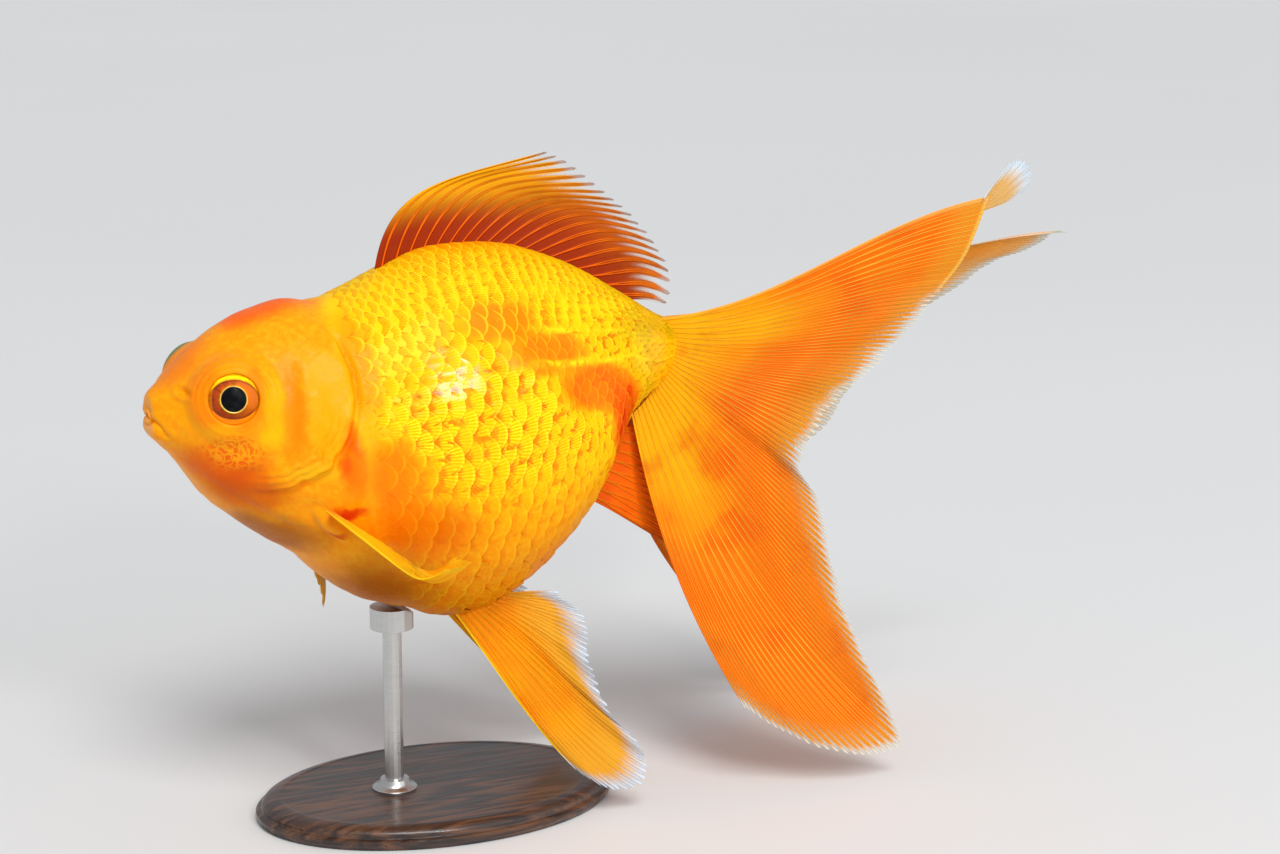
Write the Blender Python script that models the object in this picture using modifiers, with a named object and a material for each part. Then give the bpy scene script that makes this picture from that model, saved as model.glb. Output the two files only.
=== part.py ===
"""A fancy goldfish with a double tail, life size and level, held on a plain display stand.

The fish swims towards -X with its back up. It is modelled about its own long axis and
placed on the stand by one parent, so the world origin is the middle of the stand's foot.
The body is one loft between a back line and a belly line, parted with thin gaps into
head, jaw, gill covers, trunk and tail stem. Each fin is a fan of curved rays.
Every length is in metres; tables of points are in millimetres and scaled as they are read.
"""

import math
from collections import namedtuple

import bmesh
import bpy
from mathutils import Matrix, Vector

MM = 0.001
GAP = 0.3 * MM  # clearance between neighbouring pieces

# The stand and how high it holds the fish.
AXIS_HEIGHT = 67.5 * MM
BASE_LENGTH = 68.0 * MM
BASE_WIDTH = 48.0 * MM
BASE_THICKNESS = 4.0 * MM
BASE_EDGE = 0.8 * MM
ROD_RADIUS = 1.75 * MM
ROD_X = -8.0 * MM
CUP_RADIUS = 4.0 * MM
CUP_HEIGHT = 2.0 * MM
CUP_STATION = 10  # of the belly line, that the cup reaches up to

# The body's loft.
SEGMENTS = 26
RINGS_A_STATION = 2
NECK = 7.05  # where the head ends, in stations along the body
STEM = 14.0  # where the tail stem begins

# The eyes.
EYE_CENTRE = Vector((-41.2, 10.9, 16.1)) * MM  # of the right eye; the left is its mirror
EYE_RADIUS = 5.2 * MM
ORBIT_RISE = 3.4 * MM
ORBIT_REACH = 6.2 * MM
SOCKET_GAP = 0.45 * MM

# The gill covers and the jaw.
GILL_CENTRE = (-30.5, 8.0)
GILL_LENGTH = 10.5
GILL_HALF_HEIGHT = 18.5
GILL_INNER_FACE = 14.5 * MM
HEAD_REACH = 30.0 * MM  # past the widest of the head on either side
JAW_OUTLINE = ((-60.0, 9.6), (-50.3, 9.0), (-44.8, 4.0), (-47.0, -6.0), (-60.0, -6.0))

# The fins.
FIN_THICKNESS = 0.6 * MM

Station = namedtuple("Station", "top_x top_z low_x low_z half_width widest upper lower")
Fin = namedtuple("Fin", "root_a root_b root_bow fan_a fan_b grip flare columns rows tips")
Tip = namedtuple("Tip", "u x y z bend")

# Back line and belly line from the snout to the tail's root, in millimetres; widest is
# the height of the greatest width, and upper and lower say how square each half is.
STATIONS = [
    Station(-52.8, 12.9, -51.9, 10.0, 2.0, 0.50, 2.0, 2.0),
    Station(-52.3, 14.5, -50.6, 7.2, 4.4, 0.50, 2.0, 2.0),
    Station(-49.0, 17.9, -47.4, 2.3, 8.0, 0.50, 2.0, 2.0),
    Station(-44.7, 22.0, -43.0, -4.0, 11.6, 0.48, 2.0, 2.0),
    Station(-39.0, 26.0, -37.8, -8.5, 14.6, 0.46, 2.0, 2.0),
    Station(-33.4, 28.4, -33.0, -12.2, 17.0, 0.45, 2.0, 2.0),
    Station(-27.0, 29.8, -27.0, -16.2, 19.3, 0.45, 2.0, 2.0),
    Station(-21.5, 29.8, -21.8, -21.2, 21.0, 0.45, 1.9, 2.1),
    Station(-15.5, 31.9, -16.0, -25.2, 22.6, 0.45, 1.85, 2.1),
    Station(-9.5, 34.6, -9.5, -27.6, 23.6, 0.44, 1.8, 2.15),
    Station(-2.0, 37.6, -1.5, -30.6, 24.2, 0.43, 1.8, 2.15),
    Station(7.0, 38.2, 6.5, -30.0, 24.2, 0.42, 1.8, 2.15),
    Station(15.0, 37.4, 14.0, -26.3, 23.2, 0.41, 1.8, 2.15),
    Station(22.0, 35.2, 21.0, -21.0, 21.0, 0.40, 1.8, 2.1),
    Station(28.0, 32.6, 27.4, -14.6, 17.8, 0.40, 1.8, 2.1),
    Station(33.0, 29.8, 32.3, -8.0, 14.0, 0.42, 1.9, 2.0),
    Station(37.0, 27.3, 35.6, -2.0, 10.6, 0.45, 2.0, 2.0),
    Station(41.0, 24.8, 38.6, 2.2, 8.2, 0.48, 2.0, 2.0),
    Station(45.0, 22.2, 43.2, 5.4, 6.4, 0.50, 2.0, 2.0),
    Station(49.0, 20.4, 48.0, 7.8, 3.6, 0.50, 2.0, 2.0),
]

DORSAL = Fin(
    root_a=(-10.3, 0, 32.0), root_b=(36.5, 0, 26.0), root_bow=(0, 0, 8.0),
    fan_a=84, fan_b=-14, grip=0.48, flare=1.0, columns=12, rows=9,
    tips=[
        Tip(0.00, 23.3, 1.0, 52.9, -19),
        Tip(0.14, 28.4, 1.5, 50.4, -22),
        Tip(0.32, 34.8, 1.5, 45.2, -20),
        Tip(0.50, 40.8, 1.0, 40.0, -22),
        Tip(0.68, 45.4, 0.0, 34.0, -24),
        Tip(0.84, 48.0, -0.5, 28.3, -24),
        Tip(1.00, 47.3, -0.5, 22.4, -18),
    ],
)
CAUDAL_LEFT = Fin(
    root_a=(44.0, -0.8, 20.6), root_b=(38.4, -4.0, 3.6), root_bow=(4.5, -0.6, 0),
    fan_a=3, fan_b=-86, grip=0.36, flare=0.95, columns=20, rows=12,
    tips=[
        Tip(0.00, 102.6, -23, 42.8, -10),
        Tip(0.06, 98.8, -22, 32.3, -8),
        Tip(0.105, 94.8, -21, 26.4, -8),
        Tip(0.195, 88.6, -20, 18.8, -4),
        Tip(0.27, 82.6, -19, 12.4, -4),
        Tip(0.345, 76.4, -18, 7.4, -4),
        Tip(0.42, 71.4, -17, 1.6, -4),
        Tip(0.49, 67.6, -16, -6.6, -4),
        Tip(0.55, 71.6, -17, -14.8, 0),
        Tip(0.62, 73.4, -18.5, -25.6, 6),
        Tip(0.705, 78.0, -21.5, -42.0, 10),
        Tip(0.79, 85.2, -25, -59.6, 14),
        Tip(0.84, 78.8, -25, -62.1, 16),
        Tip(0.91, 66.0, -23.5, -58.6, 18),
        Tip(1.00, 53.4, -21, -50.2, 12),
    ],
)
CAUDAL_LEFT_CREST = Fin(  # the flared end of the upper lobe, beyond its twist
    root_a=(101.6, -23.4, 41.9), root_b=(103.2, -19.9, 41.0), root_bow=(0, 0, 0),
    fan_a=64, fan_b=30, grip=0.33, flare=1.4, columns=4, rows=4,
    tips=[
        Tip(0.00, 105.4, -23.0, 46.8, 10),
        Tip(0.35, 108.8, -22.0, 48.6, 4),
        Tip(0.70, 112.4, -21.0, 47.4, 0),
        Tip(1.00, 111.8, -19.5, 43.4, 0),
    ],
)
CAUDAL_RIGHT = Fin(
    root_a=(44.0, 0.8, 20.6), root_b=(38.4, 4.0, 3.6), root_bow=(4.5, 0.6, 0),
    fan_a=-3, fan_b=-80, grip=0.36, flare=1.1, columns=18, rows=11,
    tips=[
        Tip(0.00, 141.5, 10, 28.7, -8),
        Tip(0.07, 137.0, 15, 29.2, -8),
        Tip(0.14, 130.0, 19, 25.8, -8),
        Tip(0.22, 120.6, 22, 20.2, -8),
        Tip(0.30, 112.4, 24, 14.2, -8),
        Tip(0.38, 104.8, 24, 6.0, -6),
        Tip(0.46, 98.2, 24, -2.0, -6),
        Tip(0.53, 90.6, 23, -9.0, -4),
        Tip(0.59, 83.8, 21, -15.0, 0),
        Tip(0.66, 85.6, 23, -25.0, 6),
        Tip(0.75, 89.0, 25, -38.0, 10),
        Tip(0.85, 91.0, 27, -54.0, 14),
        Tip(0.92, 83.0, 27, -58.5, 16),
        Tip(1.00, 73.0, 25, -52.0, 10),
    ],
)
ANAL = Fin(
    root_a=(29.5, -2.2, -11.5), root_b=(38.0, -2.4, 1.0), root_bow=(-1.0, 0, 0),
    fan_a=-30, fan_b=-8, grip=0.36, flare=1.1, columns=7, rows=5,
    tips=[
        Tip(0.0, 52.0, -5.5, -26.0, 0),
        Tip(0.3, 57.0, -6.5, -22.4, 0),
        Tip(0.65, 58.0, -6.5, -14.0, 0),
        Tip(1.0, 53.0, -5.0, -5.0, 0),
    ],
)
PELVIC = Fin(
    root_a=(-0.4, -7.5, -26.6), root_b=(6.6, -8.5, -25.6), root_bow=(0, 0, 0),
    fan_a=-56, fan_b=-6, grip=0.36, flare=1.0, columns=11, rows=8,
    tips=[
        Tip(0.00, 20.4, -18.5, -58.4, 8),
        Tip(0.10, 25.4, -20, -62.0, 14),
        Tip(0.19, 30.2, -21, -63.0, 16),
        Tip(0.29, 34.0, -21, -60.1, 14),
        Tip(0.41, 32.2, -20.5, -54.2, 8),
        Tip(0.52, 28.2, -19, -49.6, 4),
        Tip(0.64, 24.6, -18, -41.2, 0),
        Tip(0.76, 23.8, -17, -35.6, -4),
        Tip(0.88, 23.8, -16, -30.8, -6),
        Tip(1.00, 18.8, -14, -25.2, -6),
    ],
)
PECTORAL_LEFT = Fin(  # lying flat, its leading edge at +Z and its rays towards +X
    root_a=(-1.5, 0, 2.4), root_b=(-1.5, 0, -2.4), root_bow=(0, 0, 0),
    fan_a=16, fan_b=-34, grip=0.36, flare=3.2, columns=8, rows=8,
    tips=[
        Tip(0.00, 19.5, 6.5, 7.0, -6),
        Tip(0.12, 22.5, 8.0, 5.5, -6),
        Tip(0.36, 22.5, 7.5, 0.5, 0),
        Tip(0.60, 20.5, 6.0, -4.5, 4),
        Tip(0.82, 17.0, 3.5, -8.0, 8),
        Tip(1.00, 12.0, 1.0, -8.6, 8),
    ],
)
PECTORAL_RIGHT = PECTORAL_LEFT._replace(
    flare=1.6,
    tips=[
        Tip(0.00, 28.0, 0.5, 6.0, -6),
        Tip(0.12, 33.0, 0.5, 4.0, -6),
        Tip(0.36, 29.0, 0.5, -0.5, 0),
        Tip(0.60, 24.0, 0.5, -4.5, 4),
        Tip(0.82, 19.0, 0.5, -8.0, 8),
        Tip(1.00, 13.0, 0.5, -8.6, 8),
    ],
)

# A paired fin turned about its root, in degrees, or laid out along given directions.
Turn = namedtuple("Turn", "pivot axis degrees")
PELVIC_RIGHT_TURN = Turn((2.0, 8.0, -27.0), (0.40, 0.92, 0.0), -13.0)
Seat = namedtuple("Seat", "root along leading")
PECTORAL_LEFT_SEAT = Seat((-24.6, -20.0, -5.8), (0.63, -0.55, -0.56), (-0.41, -0.88, 0.22))
PECTORAL_RIGHT_SEAT = Seat((-20.6, 20.6, -6.0), (0.28, 0.13, -0.95), (0.38, 0.90, -0.22))

Finish = namedtuple("Finish", "colour roughness metallic")
SKIN = Finish((0.95, 0.30, 0.02), 0.35, 0.0)
FIN_SKIN = Finish((0.80, 0.16, 0.02), 0.40, 0.0)
EYE = Finish((0.02, 0.02, 0.02), 0.05, 0.0)
WOOD = Finish((0.03, 0.025, 0.02), 0.45, 0.0)
STEEL = Finish((0.62, 0.62, 0.60), 0.30, 1.0)

PARTS = "goldfish"
CUTTERS = "cutters"


def clear_scene():
    """Removes every object of the startup scene and adds the two collections."""
    for obj in list(bpy.data.objects):
        bpy.data.objects.remove(obj, do_unlink=True)
    for name in (PARTS, CUTTERS):
        bpy.context.scene.collection.children.link(bpy.data.collections.new(name))


def make_material(name, finish):
    """Returns a Principled material."""
    material = bpy.data.materials.new(name)
    material.use_nodes = True
    shader = material.node_tree.nodes["Principled BSDF"]
    shader.inputs["Base Color"].default_value = (*finish.colour, 1.0)
    shader.inputs["Roughness"].default_value = finish.roughness
    shader.inputs["Metallic"].default_value = finish.metallic
    return material


def add_object(name, mesh, collection, parent=None):
    """Links a mesh, or an empty for no mesh, to a collection."""
    obj = bpy.data.objects.new(name, mesh)
    bpy.data.collections[collection].objects.link(obj)
    obj.parent = parent
    return obj


def add_part(name, mesh, finish, parent=None):
    """Adds a visible part with a material of its own."""
    mesh.materials.append(make_material(f"{name} finish", finish))
    return add_object(name, mesh, PARTS, parent)


def add_helper(name, mesh, parent):
    """Adds a cutter or a tool body: hidden from renders and drawn as wire."""
    obj = add_object(name, mesh, CUTTERS, parent)
    obj.hide_render = True
    obj.display_type = "WIRE"
    return obj


def add_boolean(obj, operation, other):
    """Adds a Boolean modifier with the exact solver."""
    modifier = obj.modifiers.new(f"{operation.lower()} {other.name}", "BOOLEAN")
    modifier.operation = operation
    modifier.solver = "EXACT"
    modifier.object = other


def mesh_from(name, build):
    """Runs a builder on a new bmesh, turns its faces outward and returns the mesh."""
    bm = bmesh.new()
    build(bm)
    bmesh.ops.recalc_face_normals(bm, faces=bm.faces)
    mesh = bpy.data.meshes.new(name)
    bm.to_mesh(mesh)
    bm.free()
    mesh.shade_smooth()
    mesh.set_sharp_from_angle(angle=math.radians(40))
    return mesh


def loft(bm, rings):
    """Skins rings of equal counts and closes both ends."""
    rows = [[bm.verts.new(p) for p in ring] for ring in rings]
    count = len(rows[0])
    for a, b in zip(rows, rows[1:]):
        for k in range(count):
            n = (k + 1) % count
            bm.faces.new((a[k], a[n], b[n], b[k]))
    bm.faces.new(rows[0])
    bm.faces.new(reversed(rows[-1]))


def prism_mesh(name, outline, sign, near, far):
    """An outline in the XZ plane, in millimetres, extended along Y on one side."""

    def build(bm):
        loft(bm, [[Vector((x * MM, sign * y, z * MM)) for x, z in outline] for y in (near, far)])

    return mesh_from(name, build)


def ball_mesh(name, radius, centre):
    """A sphere with its poles on the Y axis."""

    def build(bm):
        turn = Matrix.Rotation(math.pi / 2, 4, "X")
        bmesh.ops.create_uvsphere(bm, u_segments=16, v_segments=8, radius=radius, matrix=turn)
        bmesh.ops.translate(bm, verts=bm.verts, vec=centre)

    return mesh_from(name, build)


def cylinder_mesh(name, radius, low, high, segments):
    """A closed upright cylinder about the Z axis."""

    def build(bm):
        middle = Matrix.Translation((0, 0, (low + high) / 2))
        sizes = {"radius1": radius, "radius2": radius, "depth": high - low}
        bmesh.ops.create_cone(bm, cap_ends=True, segments=segments, matrix=middle, **sizes)

    return mesh_from(name, build)


def catmull(points, position):
    """Reads a smooth curve through tuples at a position counted in points."""
    last = len(points) - 1
    i = min(int(position), last - 1)
    f = position - i
    before, a, b, after = (points[min(max(j, 0), last)] for j in (i - 1, i, i + 1, i + 2))
    return [
        q + 0.5 * f * (r - p + f * (2 * p - 5 * q + 4 * r - s + f * (3 * (q - r) + s - p)))
        for p, q, r, s in zip(before, a, b, after)
    ]


def power(value, exponent):
    """Raises the size of a value to an exponent and keeps its sign."""
    return math.copysign(abs(value) ** exponent, value)


def orbit_swelling(point):
    """The outward push that raises the rim round each eye."""
    reach = math.hypot(point.x - EYE_CENTRE.x, point.z - EYE_CENTRE.z) / ORBIT_REACH
    return ORBIT_RISE * math.exp(-(reach**4))


def body_ring(position, grow=0.0, shift=0.0):
    """One ring of points round the body, at a position in stations.

    grow widens it all round, and shift moves it along the body.
    """
    station = Station(*catmull(STATIONS, position))
    top = Vector((station.top_x, 0, station.top_z)) * MM
    low = Vector((station.low_x, 0, station.low_z)) * MM
    rise = (top - low).normalized()
    middle = low.lerp(top, station.widest)
    upper = (top - middle).length + grow
    lower = (middle - low).length + grow
    half_width = station.half_width * MM + grow
    ring = []
    for k in range(SEGMENTS):
        angle = 2 * math.pi * k / SEGMENTS
        c, s = math.cos(angle), math.sin(angle)
        square = station.upper if c > 0 else station.lower
        point = middle + rise * ((upper if c > 0 else lower) * power(c, 2 / square))
        side = power(s, 2 / square)
        point.y = half_width * side + orbit_swelling(point) * power(side, 0.5)
        point.x += shift
        ring.append(point)
    return ring


def body_mesh(name, start, end, grow=0.0, start_shift=0.0, end_shift=0.0):
    """A closed mesh of the length of body between two positions in stations."""
    steps = max(2, round((end - start) * RINGS_A_STATION))
    places = [start + (end - start) * i / steps for i in range(steps + 1)]
    shifts = [start_shift] + [0.0] * (steps - 1) + [end_shift]
    rings = [body_ring(place, grow, shift) for place, shift in zip(places, shifts)]
    return mesh_from(name, lambda bm: loft(bm, rings))


def grown_outline(outline, grow):
    """An outline with each edge moved outward, in millimetres."""
    ahead = outline[1:] + outline[:1]
    area = sum(a[0] * b[1] - b[0] * a[1] for a, b in zip(outline, ahead))
    outward = math.copysign(1.0, area)
    grown = []
    for before, here, after in zip(outline[-1:] + outline[:-1], outline, ahead):
        a = (Vector(here) - Vector(before)).normalized()
        b = (Vector(after) - Vector(here)).normalized()
        normal = Vector((a.y + b.y, -a.x - b.x)).normalized() * outward
        stretch = 1.0 / max(0.5, abs(normal.dot(Vector((a.y, -a.x)))))
        grown.append(tuple(Vector(here) + normal * grow * stretch))
    return grown


def gill_outline():
    """The D-shaped edge of a gill cover: straight in front and round behind."""
    turns = [math.radians(-90 + 180 * i / 12) for i in range(13)]
    x, z = GILL_CENTRE
    return [(x + GILL_LENGTH * math.cos(t), z + GILL_HALF_HEIGHT * math.sin(t)) for t in turns]


def build_jaw(head, front, fish):
    """The lower jaw, let into the chin."""
    jaw = prism_mesh("lower_jaw", JAW_OUTLINE, 1, -HEAD_REACH, HEAD_REACH)
    add_boolean(add_part("lower_jaw", jaw, SKIN, fish), "INTERSECT", front)
    outline = grown_outline(JAW_OUTLINE, GAP / MM)
    room = prism_mesh("jaw_room", outline, 1, -HEAD_REACH - GAP, HEAD_REACH + GAP)
    add_boolean(head, "DIFFERENCE", add_helper("jaw_room", room, fish))


def build_gill_cover(head, front, fish, side, sign):
    """One gill cover, let into the side of the head."""
    name = f"gill_cover_{side}"
    cover = prism_mesh(name, gill_outline(), sign, GILL_INNER_FACE, HEAD_REACH)
    add_boolean(add_part(name, cover, SKIN, fish), "INTERSECT", front)
    outline = grown_outline(gill_outline(), GAP / MM)
    room = prism_mesh(f"gill_room_{side}", outline, sign, GILL_INNER_FACE - GAP, HEAD_REACH + GAP)
    add_boolean(head, "DIFFERENCE", add_helper(f"gill_room_{side}", room, fish))


def build_eye(head, fish, side, sign):
    """One eyeball and the socket that it sits in."""
    centre = Vector((EYE_CENTRE.x, sign * EYE_CENTRE.y, EYE_CENTRE.z))
    add_part(f"eye_{side}", ball_mesh(f"eye_{side}", EYE_RADIUS, centre), EYE, fish)
    socket = ball_mesh(f"socket_{side}", EYE_RADIUS + SOCKET_GAP, centre)
    add_boolean(head, "DIFFERENCE", add_helper(f"socket_{side}", socket, fish))


def build_body(fish):
    """The head with all that is let into it, the trunk and the tail stem."""
    half = GAP / 2
    last = len(STATIONS) - 1
    head = add_part("head", body_mesh("head", 0, NECK, end_shift=-half), SKIN, fish)
    front = add_helper("whole_front", body_mesh("whole_front", 0, NECK, end_shift=-half), fish)
    build_jaw(head, front, fish)
    for side, sign in (("left", -1), ("right", 1)):
        build_gill_cover(head, front, fish, side, sign)
        build_eye(head, fish, side, sign)
    trunk = body_mesh("trunk", NECK, STEM, start_shift=half, end_shift=-half)
    add_part("trunk", trunk, SKIN, fish)
    add_part("tail_stem", body_mesh("tail_stem", STEM, last, start_shift=half), SKIN, fish)


def edge_point(tips, u):
    """Reads the free edge of a fin at u as a smooth curve through its tips."""
    i = max(j for j in range(len(tips) - 1) if tips[j].u <= u)
    f = (u - tips[i].u) / (tips[i + 1].u - tips[i].u)
    return Tip(*catmull(tips, i + f))


def fin_ray(fin, u):
    """The points of one ray: a curve that leaves the root along the fan and ends at its tip."""
    root = Vector(fin.root_a).lerp(Vector(fin.root_b), u) + Vector(fin.root_bow) * (4 * u * (1 - u))
    tip = edge_point(fin.tips, u)
    end = Vector((tip.x, tip.y, tip.z))
    reach = math.hypot(end.x - root.x, end.z - root.z)
    leave = math.radians(fin.fan_a + (fin.fan_b - fin.fan_a) * u)
    arrive = math.atan2(end.z - root.z, end.x - root.x) + math.radians(tip.bend)
    first = root + Vector((math.cos(leave), 0, math.sin(leave))) * fin.grip * reach
    second = end - Vector((math.cos(arrive), 0, math.sin(arrive))) * fin.grip * reach
    points = []
    for j in range(fin.rows + 1):
        s = j / fin.rows
        r = 1 - s
        point = root * r**3 + first * (3 * r * r * s) + second * (3 * r * s * s) + end * s**3
        point.y = root.y + (end.y - root.y) * s**fin.flare
        points.append(point * MM)
    return points


def fin_mesh(name, fin, sign=1):
    """The open sheet of a fin, from its leading ray to its last."""

    def build(bm):
        rays = [fin_ray(fin, i / fin.columns) for i in range(fin.columns + 1)]
        grid = [[bm.verts.new((p.x, sign * p.y, p.z)) for p in ray] for ray in rays]
        for a, b in zip(grid, grid[1:]):
            for j in range(fin.rows):
                bm.faces.new((a[j], a[j + 1], b[j + 1], b[j]))

    return mesh_from(name, build)


def thicken(obj):
    """Gives an open sheet the thickness of the fins."""
    solidify = obj.modifiers.new("thickness", "SOLIDIFY")
    solidify.thickness = FIN_THICKNESS
    solidify.offset = 0.0


def add_fin(name, fin, body_room, sign=1):
    """A fin of even thickness, cut clear of the body at its root."""
    obj = add_part(name, fin_mesh(name, fin, sign), FIN_SKIN, body_room.parent)
    thicken(obj)
    add_boolean(obj, "DIFFERENCE", body_room)
    return obj


def seat_fin(obj, seat):
    """Lays a fin out with its rays and its leading edge along given directions."""
    x = Vector(seat.along).normalized()
    z = (Vector(seat.leading) - x * x.dot(Vector(seat.leading))).normalized()
    turn = Matrix((x, z.cross(x), z)).transposed().to_4x4()
    obj.matrix_local = Matrix.Translation(Vector(seat.root) * MM) @ turn


def turn_fin(obj, turn):
    """Turns a fin about its root."""
    pivot = Matrix.Translation(Vector(turn.pivot) * MM)
    rotation = Matrix.Rotation(math.radians(turn.degrees), 4, Vector(turn.axis))
    obj.matrix_local = pivot @ rotation @ pivot.inverted()


def build_fins(body_room):
    """The dorsal fin, the two halves of the tail and the paired fins."""
    add_fin("dorsal_fin", DORSAL, body_room)
    tail = add_fin("tail_fin_left", CAUDAL_LEFT, body_room)
    crest = add_helper("tail_crest", fin_mesh("tail_crest", CAUDAL_LEFT_CREST), body_room.parent)
    thicken(crest)
    add_boolean(tail, "UNION", crest)
    add_fin("tail_fin_right", CAUDAL_RIGHT, body_room)
    add_fin("anal_fin_left", ANAL, body_room)
    add_fin("anal_fin_right", ANAL, body_room, sign=-1)
    add_fin("pelvic_fin_left", PELVIC, body_room)
    turn_fin(add_fin("pelvic_fin_right", PELVIC, body_room, sign=-1), PELVIC_RIGHT_TURN)
    seat_fin(add_fin("pectoral_fin_left", PECTORAL_LEFT, body_room), PECTORAL_LEFT_SEAT)
    seat_fin(add_fin("pectoral_fin_right", PECTORAL_RIGHT, body_room, sign=-1), PECTORAL_RIGHT_SEAT)


def build_stand(body_room):
    """An oval base, a rod and a small cup that fits the belly."""
    base = cylinder_mesh("stand_base", 0.5, 0.0, BASE_THICKNESS, 48)
    base.transform(Matrix.Diagonal((BASE_LENGTH, BASE_WIDTH, 1.0, 1.0)))
    edge = add_part("stand_base", base, WOOD).modifiers.new("edge", "BEVEL")
    edge.width = BASE_EDGE
    edge.segments = 1
    edge.limit_method = "ANGLE"

    belly = AXIS_HEIGHT + STATIONS[CUP_STATION].low_z * MM
    cup_low = belly - CUP_HEIGHT
    rod = cylinder_mesh("stand_rod", ROD_RADIUS, BASE_THICKNESS + GAP, cup_low - GAP, 16)
    add_part("stand_rod", rod, STEEL).location.x = ROD_X
    cup_mesh = cylinder_mesh("stand_cup", CUP_RADIUS, cup_low, belly + CUP_HEIGHT, 24)
    cup = add_part("stand_cup", cup_mesh, STEEL)
    cup.location.x = ROD_X
    add_boolean(cup, "DIFFERENCE", body_room)


def main():
    """Builds the fish on its stand."""
    clear_scene()
    fish = add_object("goldfish", None, PARTS)
    fish.location.z = AXIS_HEIGHT
    build_body(fish)
    last = len(STATIONS) - 1
    room = body_mesh("body_room", 0, last, grow=GAP, start_shift=-GAP, end_shift=GAP)
    body_room = add_helper("body_room", room, fish)
    build_fins(body_room)
    build_stand(body_room)


main()
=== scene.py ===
"""The looks of a fancy goldfish with a double tail, on its small display stand.

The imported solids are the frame. One skin covers head, jaw, gill covers, trunk and tail stem;
a coat of overlapping scales lies over the trunk and the stem; every fin is a ribbed membrane.
Shapes are worked out in millimetres about the fish's own long axis, which points to +X at the
tail, with the back up and the fish's right side towards +Y.
"""

from __future__ import annotations

import logging
import math
from dataclasses import dataclass, field, replace
from enum import Enum
from functools import cached_property
from typing import Any

import bpy
import numpy as np
from mathutils import Matrix, Vector


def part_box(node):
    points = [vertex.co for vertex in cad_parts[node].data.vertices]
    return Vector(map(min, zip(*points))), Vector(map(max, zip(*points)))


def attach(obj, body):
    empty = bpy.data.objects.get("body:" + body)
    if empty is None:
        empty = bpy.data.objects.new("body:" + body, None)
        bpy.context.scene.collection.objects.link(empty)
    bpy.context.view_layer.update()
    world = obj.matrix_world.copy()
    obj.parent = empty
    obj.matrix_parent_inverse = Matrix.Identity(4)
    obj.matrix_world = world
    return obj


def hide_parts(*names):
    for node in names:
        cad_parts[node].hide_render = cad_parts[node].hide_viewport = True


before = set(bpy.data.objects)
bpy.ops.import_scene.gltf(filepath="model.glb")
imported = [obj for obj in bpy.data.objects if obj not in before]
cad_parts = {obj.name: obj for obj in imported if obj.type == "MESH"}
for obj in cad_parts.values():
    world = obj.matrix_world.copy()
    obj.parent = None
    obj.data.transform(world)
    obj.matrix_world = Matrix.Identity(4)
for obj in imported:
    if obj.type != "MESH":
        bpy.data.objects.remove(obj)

MM = 0.001
AXIS_HEIGHT = 67.5  # of the fish's long axis above the floor, in millimetres
BAKE_MAP = "OFBake"

log = logging.getLogger("goldfish")

Array = np.ndarray
Socket = bpy.types.NodeSocket
Colour = tuple[float, float, float]
Place = tuple[float, float, float]

NOWHERE: Place = (0.0, 0.0, 0.0)


class Side(Enum):
    """The two flanks, with the sign of Y on each."""

    LEFT = -1
    RIGHT = 1

    @property
    def word(self) -> str:
        """The side's name as pieces spell it."""
        return self.name.lower()


class Slot(Enum):
    """The record's material slots."""

    BODY = "body_skin"
    FIN = "fin_skin"
    EYE = "eye"
    WOOD = "stand_wood"
    STEEL = "stand_steel"


# ---------------------------------------------------------------- small mathematics


def tint(red: int, green: int, blue: int) -> Colour:
    """Turns a display colour, with parts from 0 to 255, into a linear one with parts from 0 to 1."""
    parts = (red / 255, green / 255, blue / 255)
    return tuple(((part + 0.055) / 1.055) ** 2.4 if part > 0.04 else part / 12.92 for part in parts)


def smooth(low: float, high: float, value: Array) -> Array:
    """Rises smoothly from 0 at low to 1 at high."""
    t = np.clip((value - low) / (high - low), 0.0, 1.0)
    return t * t * (3.0 - 2.0 * t)


def bell(distance: Array, width: float) -> Array:
    """Falls from 1 at no distance to near 0 at twice the width."""
    return np.exp(-((distance / width) ** 2))


def signed_power(value: Array, exponent: Array | float) -> Array:
    """Raises the size of a value to an exponent and keeps its sign."""
    return np.sign(value) * np.abs(value) ** exponent


def catmull(points: Array, place: Array) -> Array:
    """Reads a smooth curve through rows of numbers.

    Args:
        points: One row of numbers a point.
        place: Where to read it, counted in points.

    Returns:
        One row of numbers for each place.
    """
    last = len(points) - 1
    i = np.minimum(place.astype(int), last - 1)
    f = (place - i)[..., None]
    p, q, r, s = (points[np.clip(i + k, 0, last)] for k in (-1, 0, 1, 2))
    return q + 0.5 * f * (r - p + f * (2 * p - 5 * q + 4 * r - s + f * (3 * (q - r) + s - p)))


def line_distance(points: Array, line: Array) -> tuple[Array, Array]:
    """Measures from points to a bent line in a plane.

    Args:
        points: Rows of two coordinates.
        line: Rows of two coordinates, in order along the line.

    Returns:
        The distance, positive on the line's left, and how far along the line, 0 to 1.
    """
    best = np.full(points.shape[:-1], 1e9)
    signed = np.zeros_like(best)
    along = np.zeros_like(best)
    count = len(line) - 1
    for k in range(count):
        a, d = line[k], line[k + 1] - line[k]
        off = points - a
        t = np.clip((off @ d) / (d @ d), 0.0, 1.0)
        gap = off - t[..., None] * d
        size = np.linalg.norm(gap, axis=-1)
        nearer = size < best
        side = np.sign(d[0] * off[..., 1] - d[1] * off[..., 0])
        best = np.where(nearer, size, best)
        signed = np.where(nearer, size * side, signed)
        along = np.where(nearer, (k + t) / count, along)
    return signed, along


def scatter(count: int, seed: int) -> Array:
    """Gives the same even random numbers from 0 to 1 for a seed."""
    return np.random.default_rng(seed).random(count)


# ---------------------------------------------------------------- meshes


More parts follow.
